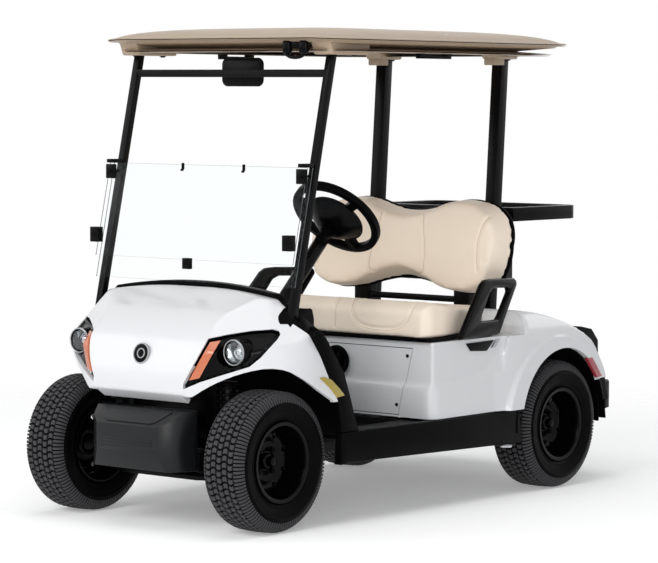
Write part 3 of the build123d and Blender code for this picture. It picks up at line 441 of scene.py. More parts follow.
def make_materials(look):
    # Moulded olefin body skin, polished tool: hard gloss with a barely seen orange peel.
    finish("gloss_white_olefin", look.body_colour, 0.2, 9, 0.01, tint=0.012, spread=0.03, coat_weight=0.35,
           coat_roughness=0.06)
    # Grained polypropylene trim: a dull black with a fine leather-like tool texture of about 1 mm.
    finish("grained_polypropylene", look.trim_colour, 0.4, 1.3, 0.08, tint=0.12, spread=0.05,
           specular_ior_level=0.03)
    # Thicker olefin of the bumper: the same black, painted paler to stand in for the light that falls on its upward
    # slopes.
    finish("pale_black_olefin_painted_light", "#131416", 0.34, 1.6, 0.05, tint=0.1, spread=0.05, specular_ior_level=0.26)
    # Smoother moulded black, as on housings and lamp bodies: satin with soft highlights.
    finish("satin_black_abs", "#060607", 0.2, 2.2, 0.015, tint=0.1, spread=0.04, specular_ior_level=0.08)
    # Powder-coated steel tube: satin black with a fine orange peel of about 2 mm.
    finish("powder_coated_steel", "#060607", 0.3, 2.0, 0.04, tint=0.08, spread=0.05, specular_ior_level=0.09)
    # Wheel enamel: stoved gloss black over pressed steel.
    finish("black_wheel_enamel", "#040405", 0.22, 5, 0.01, tint=0.1, spread=0.04, specular_ior_level=0.1)
    # Zinc-plated steel of rods, nuts and springs: pale grey metal, slightly clouded.
    finish("zinc_plated_steel", "#A9ABAE", 0.34, 1.5, 0.02, tint=0.12, tint_mm=30, metallic=1.0)
    # Vacuum-metallised reflector and bezels: mirror-bright.
    finish("metallised_reflector", "#E4E6E8", 0.08, None, tint=0.03, spread=0.03, metallic=1.0)
    # Silvered mirror glass.
    finish("silvered_glass", "#C9CED1", 0.04, None, tint=0.02, spread=0.02, metallic=1.0)
    # Thermoformed roof sheet: satin tan with a fine haircell grain.
    finish("tan_roof_sheet", look.roof_colour, 0.42, 2.4, 0.06, tint=0.03, spread=0.05)
    # Marine vinyl over foam: soft sheen, fine pebbled grain of about 1.6 mm.
    finish("beige_marine_vinyl", look.seat_colour, 0.44, 1.6, 0.08, tint=0.02, tint_mm=60, spread=0.05,
           sheen_weight=0.1)
    # The thread of the seat's seams: the vinyl's own tone, a little darker.
    finish("seam_thread", "#C9B49A", 0.7, 0.8, 0.1, tint=0.1, tint_mm=20)
    # Cross-ply tyre rubber: dull black with a slight sheen on the wall.
    finish("tyre_rubber", "#060607", 0.44, 1.1, 0.06, tint=0.18, tint_mm=45, spread=0.07,
           specular_ior_level=0.03)
    # The same rubber where the road has scuffed it grey.
    finish("scuffed_tread_rubber", "#39393B", 0.7, 1.4, 0.1, tint=0.2, tint_mm=30, spread=0.07,
           specular_ior_level=0.3)
    # Ribbed mat and flap rubber.
    finish("mat_rubber", "#060606", 0.6, 3.0, 0.1, tint=0.15, spread=0.06, specular_ior_level=0.02)
    # Cast iron and pressed steel of the engine.
    finish("engine_castings", "#232426", 0.55, 1.8, 0.2, tint=0.2, tint_mm=40, metallic=0.6)
    # Moulded polycarbonate of lenses and reflectors, with a fine field of prisms.
    for name, base in (("amber_polycarbonate", "#C46A42"), ("red_polycarbonate", "#A01018"),
                       ("yellow_reflector", "#A58F12"), ("red_reflector", "#9C3840")):
        _, tree, shader = finish(name, base, 0.16, None, tint=0.08, tint_mm=20, spread=0.04, coat_weight=0.6,
                                 coat_roughness=0.05)
        spot = add(tree, "TexCoord")
        prisms = add(tree, "TexVoronoi", {"Vector": spot.outputs["Object"]}, {"Scale": 1 / (3.5 * MM)})
        bump = add(tree, "Bump", {"Height": prisms.outputs["Distance"]}, {"Strength": 0.6, "Distance": 0.5 * MM})
        tree.links.new(bump.outputs["Normal"], shader.inputs["Normal"])
    # Moulded polycarbonate of the lamp covers.
    sheet(name="clear_polycarbonate", veil=0.06, tone="#E6EAEC")
    # Clear cast acrylic sheet: seen through almost whole, with a faint skin of reflection.
    sheet(name="clear_acrylic_sheet", veil=0.004, tone="#E9ECEC")
    # The sawn and flamed edges of the same sheet, painted a pale grey that stands in for the light they catch.
    sheet(name="acrylic_edge", veil=0.8, tone="#6C7173")


def sheet(name, veil, tone):
    """Clear sheet: straight through except for a thin veil that is part gloss, part haze."""
    made = bpy.data.materials.new(name)
    made.use_nodes = True
    tree = made.node_tree
    tree.nodes.remove(tree.nodes["Principled BSDF"])
    place_node = add(tree, "TexCoord")
    cloud = add(tree, "TexNoise", {"Vector": place_node.outputs["Object"]}, {"Scale": 6.0, "Detail": 2.0})
    slant = add(tree, "LayerWeight", values={"Blend": 0.25})
    rim = add(tree, "MapRange", {"Value": slant.outputs["Facing"]},
              {"From Min": 0.2, "From Max": 1.0, "To Min": veil, "To Max": min(1.0, veil * 3 + 0.12)})
    share = add(tree, "Math", {0: rim.outputs["Result"]}, {1: 0.0}, operation="ADD")
    rough = add(tree, "MapRange", {"Value": cloud.outputs["Fac"]}, {"To Min": 0.01, "To Max": 0.05})
    through = add(tree, "BsdfTransparent", values={"Color": colour("#FEFFFF")})
    gloss = add(tree, "BsdfGlossy", {"Roughness": rough.outputs["Result"]}, {"Color": colour(tone)})
    haze = add(tree, "BsdfDiffuse", values={"Color": colour(tone)})
    skin = add(tree, "MixShader", {1: gloss.outputs[0], 2: haze.outputs[0]}, {0: 0.5})
    whole = add(tree, "MixShader", {0: share.outputs[0], 1: through.outputs[0], 2: skin.outputs[0]})
    tree.links.new(whole.outputs[0], tree.nodes["Material Output"].inputs["Surface"])
    MATERIALS[name] = made


class CartLook(bpy.types.PropertyGroup):
    """The colours and sizes that a user may change before the pieces are modelled"""
    body_colour: FloatVectorProperty(name="Body", description="Colour of the moulded body skins",
                                     subtype="COLOR", size=4, min=0, max=1, default=colour("#DBDCDE"))
    trim_colour: FloatVectorProperty(name="Trim", description="Colour of the grained black trim",
                                     subtype="COLOR", size=4, min=0, max=1, default=colour("#060607"))
    roof_colour: FloatVectorProperty(name="Roof", description="Colour of the thermoformed roof",
                                     subtype="COLOR", size=4, min=0, max=1, default=colour("#A4917C"))
    seat_colour: FloatVectorProperty(name="Seat", description="Colour of the vinyl on seat and backrest",
                                     subtype="COLOR", size=4, min=0, max=1, default=colour("#FBEBD8"))
    skin_wall: FloatProperty(name="Skin wall", description="Wall of the moulded body skins", unit="LENGTH",
                             min=0.001, max=0.01, default=0.004)
    tread_depth: FloatProperty(name="Tread depth", description="Depth of the grooves between the tread blocks",
                               unit="LENGTH", min=0.002, max=0.012, default=0.007)
    tread_pitches: IntProperty(name="Tread pitches", description="Blocks of one tread row round the tyre",
                               min=20, max=120, default=64)
    lug_pitches: IntProperty(name="Shoulder lugs", description="Shoulder lugs round each side of the tyre",
                             min=20, max=160, default=112)
    cushion_pressure: FloatProperty(name="Cushion pressure", description="Cloth pressure that crowns the cushions",
                                    min=0.0, max=10.0, default=4.0)
    seam_depth: FloatProperty(name="Seam depth", description="How far a sewn seam draws the vinyl in",
                              unit="LENGTH", min=0.0, max=0.01, default=0.004)


# ---- Body skins ------------------------------------------------------------------------------------
COWL_SIDE = (arc((-780, 874), (-838, 847), (-972, 775), 4) + arc((-972, 775), (-1032, 728), (-1083, 668), 8)
             + arc((-1083, 668), (-1121, 580), (-1136, 486), 10)
             + [(-1136, 486), (-1088, 452), (-1040, 420), (-640, 420), (-780, 874)][:-1])
COWL_PLAN = both_sides([(0, -1141)] + arc((0, -1141), (108, -1139.5), (215, -1136), 3)[1:]
                       + arc((215, -1136), (372, -1056), (500, -946), 12) + arc((500, -946), (546, -876), (562, -790), 8)
                       + [(562, -790), (566, -640), (0, -640)])
COWL_FRONT = both_sides([(0, 850)] + arc((0, 850), (206, 842), (406, 817), 8)[1:] + [(406, 817)]
                        + arc((431, 797), (500, 764), (545, 715), 8) + [(545, 715), (566, 600), (566, 400), (0, 400)])
FRONT_ARCH = ([(-1160, 380), (-1145, 444)] + arc((-1128, 466), (-1082, 532), (-1010, 576), 8)
              + arc((-1010, 576), (-966, 584), (-914, 571), 4) + [(-914, 571), (-810, 508), (-718, 457), (-690, 380)])
# The brow: two flats beside the hood, one down to the lamps and one out to the fenders.
BROWS = (((273, -1067, 692), (0.4185, -0.6543, 0.6298)), ((406, -848, 821), (0.587, -0.496, 0.640)))
LAMP_OPENING = [(-2, 505), (-2, 524), (86, 686), (153, 700), (238, 714), (312, 720), (334, 714), (340, 702), (330, 684),
                (275, 622), (236, 590), (132, 557), (61, 533)]
TURN_STRIP = [(20, 538), (93, 673), (130, 679), (58, 547)]
LAMP_TURN = Matrix.Translation((0.222, -1.137, 0)) @ Matrix.Rotation(math.atan2(0.566, 0.824), 4, "Z")


def closed_body(name, side, plan, front, voxel, rounds, brows=(), added=(), taken=()):
    """A body's solid: three outlines crossed, remeshed and relaxed until its edges are round."""
    solid = prism(name, "YZ", side, -640, 640)
    cut(solid, prism("plan_tool", "XY", plan, 200, 1100), "INTERSECT")
    cut(solid, prism("front_tool", "XZ", front, -1400, 1400), "INTERSECT")
    for point, facing in brows:
        for side in (-1, 1):
            edit(solid)
            bpy.ops.mesh.bisect(plane_co=[c * MM for c in (side * point[0], *point[1:])],
                                plane_no=(side * facing[0], *facing[1:]), clear_outer=True, use_fill=True)
            done(solid)
    for tool in added:
        cut(solid, tool, "UNION")
    for tool in taken:
        cut(solid, tool)
    modify(solid, "REMESH", mode="VOXEL", voxel_size=voxel * MM, use_smooth_shade=True)
    modify(solid, "SMOOTH", factor=0.5, iterations=rounds)
    return solid


def lamp_tool(name, low, high, outline=LAMP_OPENING):
    """A prism that lies along the cowl's slanted corner, on both sides."""
    tool = prism(name, "XZ", outline, low, high)
    tool.matrix_world = LAMP_TURN
    settle(tool)
    tool = reflected(tool)
    return outward(tool)


def open_skin(solid, tools):
    """Cut the tools out of a solid and drop the faces they leave."""
    knife = bpy.data.materials.get("knife") or bpy.data.materials.new("knife")
    solid.data.materials.clear()
    solid.data.materials.append(MATERIALS["gloss_white_olefin"])
    solid.data.materials.append(knife)
    for tool in tools:
        tool.data.materials.clear()
        tool.data.materials.append(knife)
        cut(solid, tool)
    edit(solid, faces=lambda f: f.material_index == 1)
    bpy.ops.mesh.delete(type="FACE")
    done(solid)
    bpy.ops.object.material_slot_remove_unused()
    return solid


def flange(skin, test, depth):
    """Turn the open edges that test picks inwards by depth millimetres."""
    edit(skin, edges=lambda e: len(e.link_faces) == 1 and test((e.verts[0].co + e.verts[1].co) / 2 / MM))
    first = len(skin.data.vertices)
    bpy.ops.mesh.extrude_region_move(TRANSFORM_OT_translate={"value": (0, 0, 0)})
    mesh = bmesh.from_edit_mesh(skin.data)
    mesh.verts.ensure_lookup_table()
    for vertex in mesh.verts:
        if vertex.select:
            faces = [f for e in vertex.link_edges for v in e.verts if v is not vertex for f in v.link_faces
                     if f.calc_area() > 1e-12]
            push = sum((f.normal for f in faces), Vector()).normalized()
            vertex.co -= push * depth * MM
    bmesh.update_edit_mesh(skin.data)
    return done(skin)


def walled(skin, wall):
    """Give an open skin its wall, inwards, and shade it smooth where its faces meet at less than 38 degrees."""
    modify(skin, "SOLIDIFY", thickness=wall * MM, offset=-1.0, use_even_offset=False, use_quality_normals=True)
    pick(skin)
    bpy.ops.object.shade_smooth_by_angle(angle=math.radians(38))
    return skin


class CART_OT_cowl(bpy.types.Operator):
    """Model the front cowl, its lamp housings and its lamps"""
    bl_idname = "cart.cowl"
    bl_label = "Front cowl and lamps"

    def execute(self, context):
        solid = closed_body("front_cowl_skin", COWL_SIDE, COWL_PLAN, COWL_FRONT, 7, 6, BROWS)
        housing = copied(solid, "lamp_housings")
        strip = copied(solid, "turn_lamps")
        socket = copied(solid, "pillar_sockets")
        arches = reflected(prism("arches", "YZ", FRONT_ARCH, 205, 640))
        rear = prism("rear", "YZ", [(-692, 452), (-859, 738), (-840, 796), (-838, 900), (-500, 900), (-500, 380),
                                    (-692, 380)], -640, 640)
        low = block("low", (-640, -1200, 300), (640, -500, 452))
        notches = [(441, -800), (441, -872)] + arc((441, -872), (447, -887), (462, -893), 4) + [(462, -893), (640, -893),
                                                                                                   (640, -800)]
        notches = outward(reflected(prism("notches", "XY", notches, 735, 900)))
        slots = reflected(block("slots", (445, -872, 690), (491, -797, 760)))
        skin = open_skin(solid, [arches, rear, low, lamp_tool("lamps", -130, 90), notches, slots])
        flange(skin, lambda p: 453 < p.z < 590 and abs(p.x) > 200 and -1140 < p.y < -700, 16)
        walled(skin, context.scene.cart_look.skin_wall / MM)
        place(skin, CHASSIS, "white_body", "gloss_white_olefin", ["front_cowl"])

        # The black sockets that the front pillars stand in, between the hood and the fenders.
        set_points(socket, points_of(socket) - normals_of(socket) * 5)
        cut(socket, outward(reflected(block("room", (436, -898, 690), (560, -834, 800)))), "INTERSECT")
        soften(socket, 0, angle=40)
        place(socket, CHASSIS, "black_trim", "grained_polypropylene")

        # The lamp housings: a gloss black skin with a raised rim round a dished middle.
        set_points(housing, points_of(housing) - normals_of(housing) * 2)
        middle = sum((Vector(p) for p in LAMP_OPENING), Vector((0, 0))) / len(LAMP_OPENING)
        inner = [tuple(middle + (Vector(p) - middle) * 0.985) for p in LAMP_OPENING]
        housing.data.materials.clear()
        housing.data.materials.append(MATERIALS["satin_black_abs"])
        tool = lamp_tool("pocket", -130, 50, inner)
        tool.data.materials.append(bpy.data.materials["knife"])
        cut(housing, tool, "INTERSECT")
        for side in (-1, 1):
            cut(housing, rod("lamp_room", (side * 375, -1200, 639), (side * 375, -1032, 639), 49, 48))
        edit(housing, faces=lambda f: f.material_index == 0)
        bpy.ops.mesh.inset(thickness=0.008, depth=0)
        bpy.ops.mesh.inset(thickness=0.007, depth=-0.012)
        done(housing)
        bpy.ops.object.material_slot_remove_unused()
        soften(housing, 0, angle=40)
        place(housing, CHASSIS, "black_gloss", "satin_black_abs", ["headlamp_housings"])
        set_points(strip, points_of(strip) - normals_of(strip) * 3)
        cut(strip, lamp_tool("strip_tool", -130, 22, TURN_STRIP), "INTERSECT")
        soften(strip, 0, angle=40)
        place(strip, CHASSIS, "amber_lens", "amber_polycarbonate", ["turn_lenses"])

        for side, word in ((1, "left"), (-1, "right")):
            spot = (side * 375, -985, 639)
            ahead = (0, -1, 0)
            bezel = turned("lamp_bezel_" + word, [(46, -10), (46, 58), (44, 61), (41, 61), (39, 57), (37, 40), (37, -10)],
                           spot, ahead, 48, closed=True)
            soften(bezel, 0, angle=40)
            place(bezel, CHASSIS, "black_gloss", "satin_black_abs")
            rim = turned("lamp_rim_" + word, [(41.6, 57), (41.6, 61), (43, 62.6), (45, 62.4), (46.6, 60), (46.6, 55)],
                         spot, ahead, 48, closed=True)
            soften(rim, 0, angle=40)
            place(rim, CHASSIS, "lamp_lens", "zinc_plated_steel")
            bowl = turned("lamp_reflector_" + word, [(37.5, 50), (36, 38), (31, 20), (22, 6), (14, 2), (0, 0)],
                          spot, ahead, 48)
            soften(bowl, 0, angle=60)
            place(bowl, CHASSIS, "lamp_lens", "metallised_reflector")
            ring = turned("lamp_ring_" + word, [(24, 22), (26, 24), (26, 27), (23, 29), (21, 27), (21, 24)],
                          spot, ahead, 40, closed=True)
            soften(ring, 0, angle=40)
            place(ring, CHASSIS, "lamp_lens", "zinc_plated_steel")
            eye = turned("lamp_projector_" + word, [(21, 14), (21, 24), (18, 32), (12, 37), (6, 39.5), (0, 40)],
                         spot, ahead, 32)
            soften(eye, 0, angle=60)
            place(eye, CHASSIS, "lamp_lens", "silvered_glass")
            cover = turned("lamp_cover_" + word, [(40.5, 55), (38, 58), (28, 60.5), (14, 61.5), (0, 62), (0, 59.5),
                                                  (14, 59), (28, 58), (37, 55.5), (40.5, 53)], spot, ahead, 48,
                           closed=True)
            soften(cover, 0, angle=60)
            place(cover, CHASSIS, "lamp_lens", "clear_polycarbonate", ["headlamp_lenses"] if side > 0 else [])
        facing = (0, -0.982, 0.19)
        badge = turned("nose_medallion", [(0, 3.5), (30, 3.5), (34, 3), (35, 0), (35, -6), (0, -6)],
                       (0, -1112, 619), facing, 48)
        soften(badge, 0, angle=40)
        place(badge, CHASSIS, "black_gloss", "satin_black_abs")
        rims = [turned("nose_medallion_rim", [(r - 2, -4), (r - 2, 4), (r - 1, 5.5), (r + 2, 5.5), (r + 3, 4), (r + 3, -4)],
                       (0, -1112, 619), facing, 48, closed=True) for r in (16, 35)]
        rims = combine(rims, "nose_medallion_rim")
        soften(rims, 0, angle=40)
        place(rims, CHASSIS, "lamp_lens", "zinc_plated_steel")

        # The padded black edge of the dash that stands up behind the hood.
        edge = arc((-384, 833), (0, 866), (384, 833), 24) + [(384, 833), (424, 800), (424, 780), (384, 806)]
        edge += arc((384, 806), (0, 838), (-384, 806), 24) + [(-384, 806), (-424, 780), (-424, 800)]
        pad = prism("dash_edge", "XZ", edge, -834, -786)
        soften(pad, 7, 3, 50)
        place(pad, CHASSIS, "black_trim", "grained_polypropylene")
        return {"FINISHED"}


REAR_SIDE = ([(-130, 300), (-130, 625), (432, 625), (452, 658)]
             + arc((470, 712), (700, 662), (870, 580), 14)
             + arc((870, 580), (952, 495), (1004, 405), 10) + [(1004, 405), (1028, 338), (1042, 300)])
REAR_PLAN = both_sides([(0, -130)] + arc((525, -130), (553, -118), (565, -90), 6)
                       + [(565, -90)] + arc((565, 260), (586, 360), (598, 480), 8)
                       + [(598, 480), (598, 880), (584, 1040), (0, 1040)])
REAR_FRONT = both_sides([(0, 722)] + arc((480, 722), (575, 660), (598, 560), 10)
                        + [(598, 560), (598, 290), (0, 290)])
# The step that runs along the pod's side and sweeps up to the seat: its line where the recess is full,
# and where its slope would meet a plane 20 mm further out.
STEP_DEEP = [(-300, 475), (36, 476), (132, 486), (204, 506), (260, 541), (292, 582), (312, 620), (316, 740), (-300, 740)]
STEP_PROUD = [(-300, 395), (40, 395), (170, 405), (262, 440), (322, 480), (352, 545), (362, 620), (366, 740),
              (-300, 740)]
POD_OPENING = [(0, 345), (404, 345), (415, 403), (447, 533), (462, 600), (0, 600)]
ARCH_Y, ARCH_Z, ARCH_RADIUS = 683, 272, 285


def arch_band(extra):
    """The flare round the rear arch as an outline in the side view, its outer edge moved out by extra."""
    turns = np.linspace(math.radians(-8), math.radians(192), 41)
    reach = np.interp(turns, [math.radians(a) for a in (-8, 30, 60, 90, 130, 170, 192)],
                      [290, 292, 308, 334, 358, 372, 374]) + extra
    outer = [(ARCH_Y + r * math.cos(t), ARCH_Z + r * math.sin(t)) for t, r in zip(turns, reach)]
    inner = [(ARCH_Y + 270 * math.cos(t), ARCH_Z + 270 * math.sin(t)) for t in turns[::-1]]
    return outer + inner


class CART_OT_rear(bpy.types.Operator):
    """Model the seat pod with the rear fenders, its front panel and its selector"""
    bl_idname = "cart.rear"
    bl_label = "Seat pod and rear fenders"

    def execute(self, context):
        flares = reflected(wedge("flares", "YZ", arch_band(14), 560, arch_band(-4), 602))
        steps = reflected(wedge("steps", "YZ", STEP_DEEP, 555, STEP_PROUD, 577))
        ledge = prism("ledge", "YZ", [(-120, 474), (-120, 650), (-152, 650), (-152, 386)], -640, 640)
        solid = closed_body("rear_body_skin", REAR_SIDE, REAR_PLAN, REAR_FRONT, 7, 2, added=[outward(flares)],
                            taken=[outward(steps), ledge])
        panel, tail = copied(solid, "front_access_panel"), copied(solid, "fender_tails")
        circle = [(ARCH_Y + ARCH_RADIUS * math.cos(t), ARCH_Z + ARCH_RADIUS * math.sin(t))
                  for t in np.linspace(math.radians(-10), math.radians(190), 41)]
        arches = reflected(prism("arches", "YZ", circle + [(398, 60), (968, 60)], 500, 700))
        low = block("low", (-700, -300, 200), (700, 1200, BODY_LOW_Z))
        front = prism("front", "XZ", both_sides(POD_OPENING), -150, -100)
        seat = block("seat", (-504, -90, 600), (504, 312, 700))
        well = block("well", (-490, WELL_Y, 250), (490, 1200, 900))
        holes = reflected(block("holes", (263, 559, 640), (319, 625, 800)))
        ends = reflected(block("ends", (502, 880, 300), (700, 1200, 419)))
        skin = open_skin(solid, [arches, low, front, seat, well, holes, outward(ends)])
        flange(skin, lambda p: abs(p.x) > 500 and abs(math.hypot(p.y - ARCH_Y, p.z - ARCH_Z) - ARCH_RADIUS) < 2, 22)
        walled(skin, context.scene.cart_look.skin_wall / MM)
        place(skin, CHASSIS, "white_body", "gloss_white_olefin", ["rear_body"])

        # The black lower ends of the fenders behind the wheels, and the liners inside the arches.
        set_points(tail, points_of(tail) - normals_of(tail) * 4)
        cut(tail, outward(reflected(block("room", (504, 900, 330), (700, 1200, 424)))), "INTERSECT")
        cut(tail, reflected(prism("room", "YZ", circle + [(398, 60), (968, 60)], 450, 700)))
        soften(tail, 0, angle=40)
        place(tail, CHASSIS, "black_trim", "grained_polypropylene")
        turns = np.linspace(math.radians(-6), math.radians(186), 37)
        band = [(ARCH_Y + 283 * math.cos(t), ARCH_Z + 283 * math.sin(t)) for t in turns]
        band += [(ARCH_Y + 280 * math.cos(t), ARCH_Z + 280 * math.sin(t)) for t in turns[::-1]]
        liner = outward(reflected(prism("arch_liners", "YZ", band, 384, 574)))
        soften(liner, 0, angle=40)
        place(liner, CHASSIS, "black_trim", "mat_rubber")

        # The access panel, with the screws that hold the pod's front.
        set_points(panel, points_of(panel) - normals_of(panel) * 0.5)
        inner = [(x - 3 if x else 0, z + (3 if z < 400 else -3 if z > 590 else 0)) for x, z in POD_OPENING]
        cut(panel, prism("room", "XZ", both_sides(inner), -150, -112), "INTERSECT")
        cut(panel, rod("room", (106, -200, 533), (106, 0, 533), 50, 48))
        soften(panel, 0, angle=40)
        place(panel, CHASSIS, "white_body", "gloss_white_olefin", ["access_panel"])
        screws = []
        for side in (-1, 1):
            for x, y, z in ((436, -120.5, 569), (394, -130, 384)):
                screws.append(turned("screw", [(0, 1.2), (2, 1.2), (2.4, 3), (5, 3), (6.5, 1.5), (6.8, -3), (0, -3)],
                                     (side * x, y, z), (0, -1, 0), 20))
        screws = combine(screws, "pod_screws")
        soften(screws, 0, angle=40)
        place(screws, CHASSIS, "black_steel", "powder_coated_steel")

        # The blank side badges with their slanted bars, and the reflectors.
        for name, outline, low_x, high_x, slot, material in (
                ("side_badges", [(85, 609), (262, 612), (214, 573), (114, 579)], 552, 561, "black_gloss",
                 "satin_black_abs"),
                ("badge_bars", [(275, 613), (297, 614), (267, 584), (246, 583)], 552, 563, "lamp_lens",
                 "zinc_plated_steel"),
                ("front_reflectors", [(-795, 544), (-770, 546), (-733, 534), (-688, 500), (-657, 472), (-700, 467),
                                      (-738, 503)], 556, 568, "amber_lens", "yellow_reflector"),
                ("rear_reflectors", [(837, 506), (873, 508), (944, 427), (911, 424)], 586, 602.5, "red_lens",
                 "red_reflector")):
            plate = outward(reflected(prism(name, "YZ", outline, low_x, high_x)))
            soften(plate, 1.5, 2, 40)
            place(plate, CHASSIS, slot, material)
        cup = node_copy("selector", "selector_cup", 2)
        place(cup, CHASSIS, "black_trim", "grained_polypropylene", ["selector"])
        return {"FINISHED"}


# ---- Wheels ----------------------------------------------------------------------------------------
# Tread rows: middle and width across the tyre, length of a block along the tread, phase and slant.
TREAD_ROWS = (
    (-50, 19, 16.5, 0.0, 0.42),
    (-25, 18, 17, 0.5, -0.42),
    (0, 18, 17, 0.0, 0.42),
    (25, 18, 17, 0.5, -0.42),
    (50, 19, 16.5, 0.0, 0.42),
)


def tread_block(width, length, height, slant):
    """One rubber block of the tread, standing on z 0: a slanted box bent to a chevron."""
    made = block("tread_block", (-width / 2, -length / 2, -3), (width / 2, length / 2, height))
    edit(made)
    bpy.ops.mesh.bisect(plane_co=(0, 0, 0), plane_no=(1, 0, 0))
    done(made)
    points = points_of(made)
    points[:, 1] += np.abs(points[:, 0]) * slant
    top = points[:, 2] > 0
    points[top, :2] *= 0.92
    set_points(made, points)
    return made


def tyre_mesh(name, depth, pitches, lugs):
    """The carcass with its sidewall rings, five rows of zigzag blocks and the shoulder lugs."""
    floor = 252 - depth
    across = [(147, -73), (133, -70), (133, 70), (147, 73), (150, 76.5), (156, 79), (158, 81.5), (161, 82), (163, 80.5),
              (176, 85.5), (190, 88.2), (196, 88.8), (198, 90), (201, 90), (203, 88.6), (214, 87), (222, 84),
              (228, 79.5), (236, 71), (floor - 4, 66), (floor - 1, 62), (floor, 40), (floor + 0.6, 0)]
    profile = across + [(r, -a) for r, a in reversed(across[4:-1])]
    carcass = turned(name, profile, (0, 0, 0), (1, 0, 0), 96, closed=True)
    rows = []
    for middle, width, length, phase, slant in TREAD_ROWS:
        crown = 252 - 3.2 * (middle / 62) ** 2
        one = tread_block(width, length, depth - 0.3, slant)
        points = points_of(one)
        points[:, 2] += crown - depth
        points[:, 0] += middle
        set_points(one, points)
        one.matrix_world = Matrix.Rotation(math.tau / pitches * phase, 4, "X")
        settle(one)
        rows.append(ring_of(one, pitches, (0, 0, 0), (1, 0, 0)))
    for side in (-1, 1):
        lug = prism("lug", "XZ", [(64, 242), (64.5, 247.6), (69, 246), (76, 241), (82.5, 232), (85.5, 223), (87.2, 213),
                                  (84, 212), (80, 222), (72, 233)], -4.1, 4.1)
        if side < 0:
            points = points_of(lug)
            points[:, 0] *= -1
            set_points(lug, points)
            outward(lug)
        rows.append(ring_of(lug, lugs, (0, 0, 0), (1, 0, 0)))
    for obj in [carcass] + rows:
        obj.data.materials.clear()
        obj.data.materials.append(MATERIALS["tyre_rubber" if obj is carcass else "scuffed_tread_rubber"])
    made = combine(rows + [carcass], name)
    pick(made)
    bpy.ops.object.shade_smooth_by_angle(angle=math.radians(30))
    return made


def rim_mesh(name):
    """The pressed steel wheel: stepped barrel, deep dished disc with slots, hub, nuts and cap, facing +X."""
    section = [(133, -69), (144, -74), (145, -78), (144, -81), (139, -81.5), (134, -79), (129, -72), (126, -56),
               (122, -40), (116, -30), (116, 4), (119, 18), (124, 34), (126, 56), (127.5, 70), (131, 79), (136, 81.5),
               (144, 81), (145, 78), (144, 74), (133, 69), (131, 50), (123, 30), (120, 4), (120, -30)]
    barrel = turned("barrel", section, (0, 0, 0), (1, 0, 0), 72, closed=True)
    disc = turned("disc", [(118, -6), (116, 2), (111, 8), (103, 11), (93, 11), (84, 8), (77, 1), (70, -5), (60, -7),
                           (44, -7), (37, -4), (34, 2), (30, 2), (30, -8), (44, -12), (60, -12), (72, -10), (80, -4),
                           (87, 3), (94, 6), (102, 6), (108, 3), (112, -3), (114, -8)], (0, 0, 0), (1, 0, 0), 72,
                  closed=True)
    tools = []
    for i in range(8):
        turn = math.tau * (i + 0.5) / 8
        spot = (0, 94 * math.cos(turn), 94 * math.sin(turn))
        tools.append(rod("slot", (-30, spot[1], spot[2]), (40, spot[1], spot[2]), 10, 20))
    cut(disc, combine(tools, "slots"))
    parts = [barrel, disc]
    hub = turned("hub", [(0, 20), (24, 19), (28, 16), (30, 10), (31, -10), (0, -10)], (0, 0, 0), (1, 0, 0), 40)
    cap = turned("cap", [(0, 43), (9, 42.5), (15, 40), (18, 35), (19, 28), (19, 16), (0, 16)], (0, 0, 0), (1, 0, 0), 32)
    parts += [hub, cap]
    for i in range(4):
        turn = math.tau * (i + 0.5) / 4
        y, z = 50 * math.cos(turn), 50 * math.sin(turn)
        nut = rod("nut", (-8, y, z), (9, y, z), 10.5, 6, 1.5)
        seat = rod("seat", (-9, y, z), (-4, y, z), 14, 24, 1)
        stud = rod("stud", (6, y, z), (15, y, z), 5, 16, 1)
        parts += [nut, seat, stud]
    valve = rod("valve", (18, 0, 119), (38, 0, 114), 3.5, 12, 1)
    made = combine(parts + [valve], name)
    pick(made)
    bpy.ops.object.shade_smooth_by_angle(angle=math.radians(35))
    return made


class CART_OT_wheels(bpy.types.Operator):
    """Model the tyres with their tread and the pressed steel rims, one of each wheel"""
    bl_idname = "cart.wheels"
    bl_label = "Tyres and rims"

    def execute(self, context):
        look = context.scene.cart_look
        tyre = tyre_mesh("tyre_model", look.tread_depth / MM, look.tread_pitches, look.lug_pitches)
        rim = rim_mesh("rim_model")
        for name, side, track, axle_y in WHEELS:
            for model, kind, slot, material in ((tyre, "tyre_", "tyre_rubber", "tyre_rubber"),
                                                (rim, "rim_", "wheel_steel", "black_wheel_enamel")):
                made = copied(model, kind + name + "_dressed")
                turn = Matrix.Rotation(0 if side > 0 else math.pi, 4, "Z")
                made.matrix_world = Matrix.Translation(Vector((side * track, axle_y, TYRE_RADIUS)) * MM) @ turn
                settle(made)
                place(made, "wheel_" + name, slot, None if kind == "tyre_" else material, [kind + name])
        for model in (tyre, rim):
            bpy.data.objects.remove(model)
        return {"FINISHED"}


# ---- Roof ------------------------------------------------------------------------------------------
def rounded_rectangle(half_x, low_y, high_y, corner, steps=8):
    """Points round a rectangle with rounded corners."""
    points = []
    for cx, cy, start in ((half_x - corner, high_y - corner, 0), (-half_x + corner, high_y - corner, 90),
                          (-half_x + corner, low_y + corner, 180), (half_x - corner, low_y + corner, 270)):
        for i in range(steps + 1):
            turn = math.radians(start + 90 * i / steps)
            points.append((cx + corner * math.cos(turn), cy + corner * math.sin(turn)))
    return points


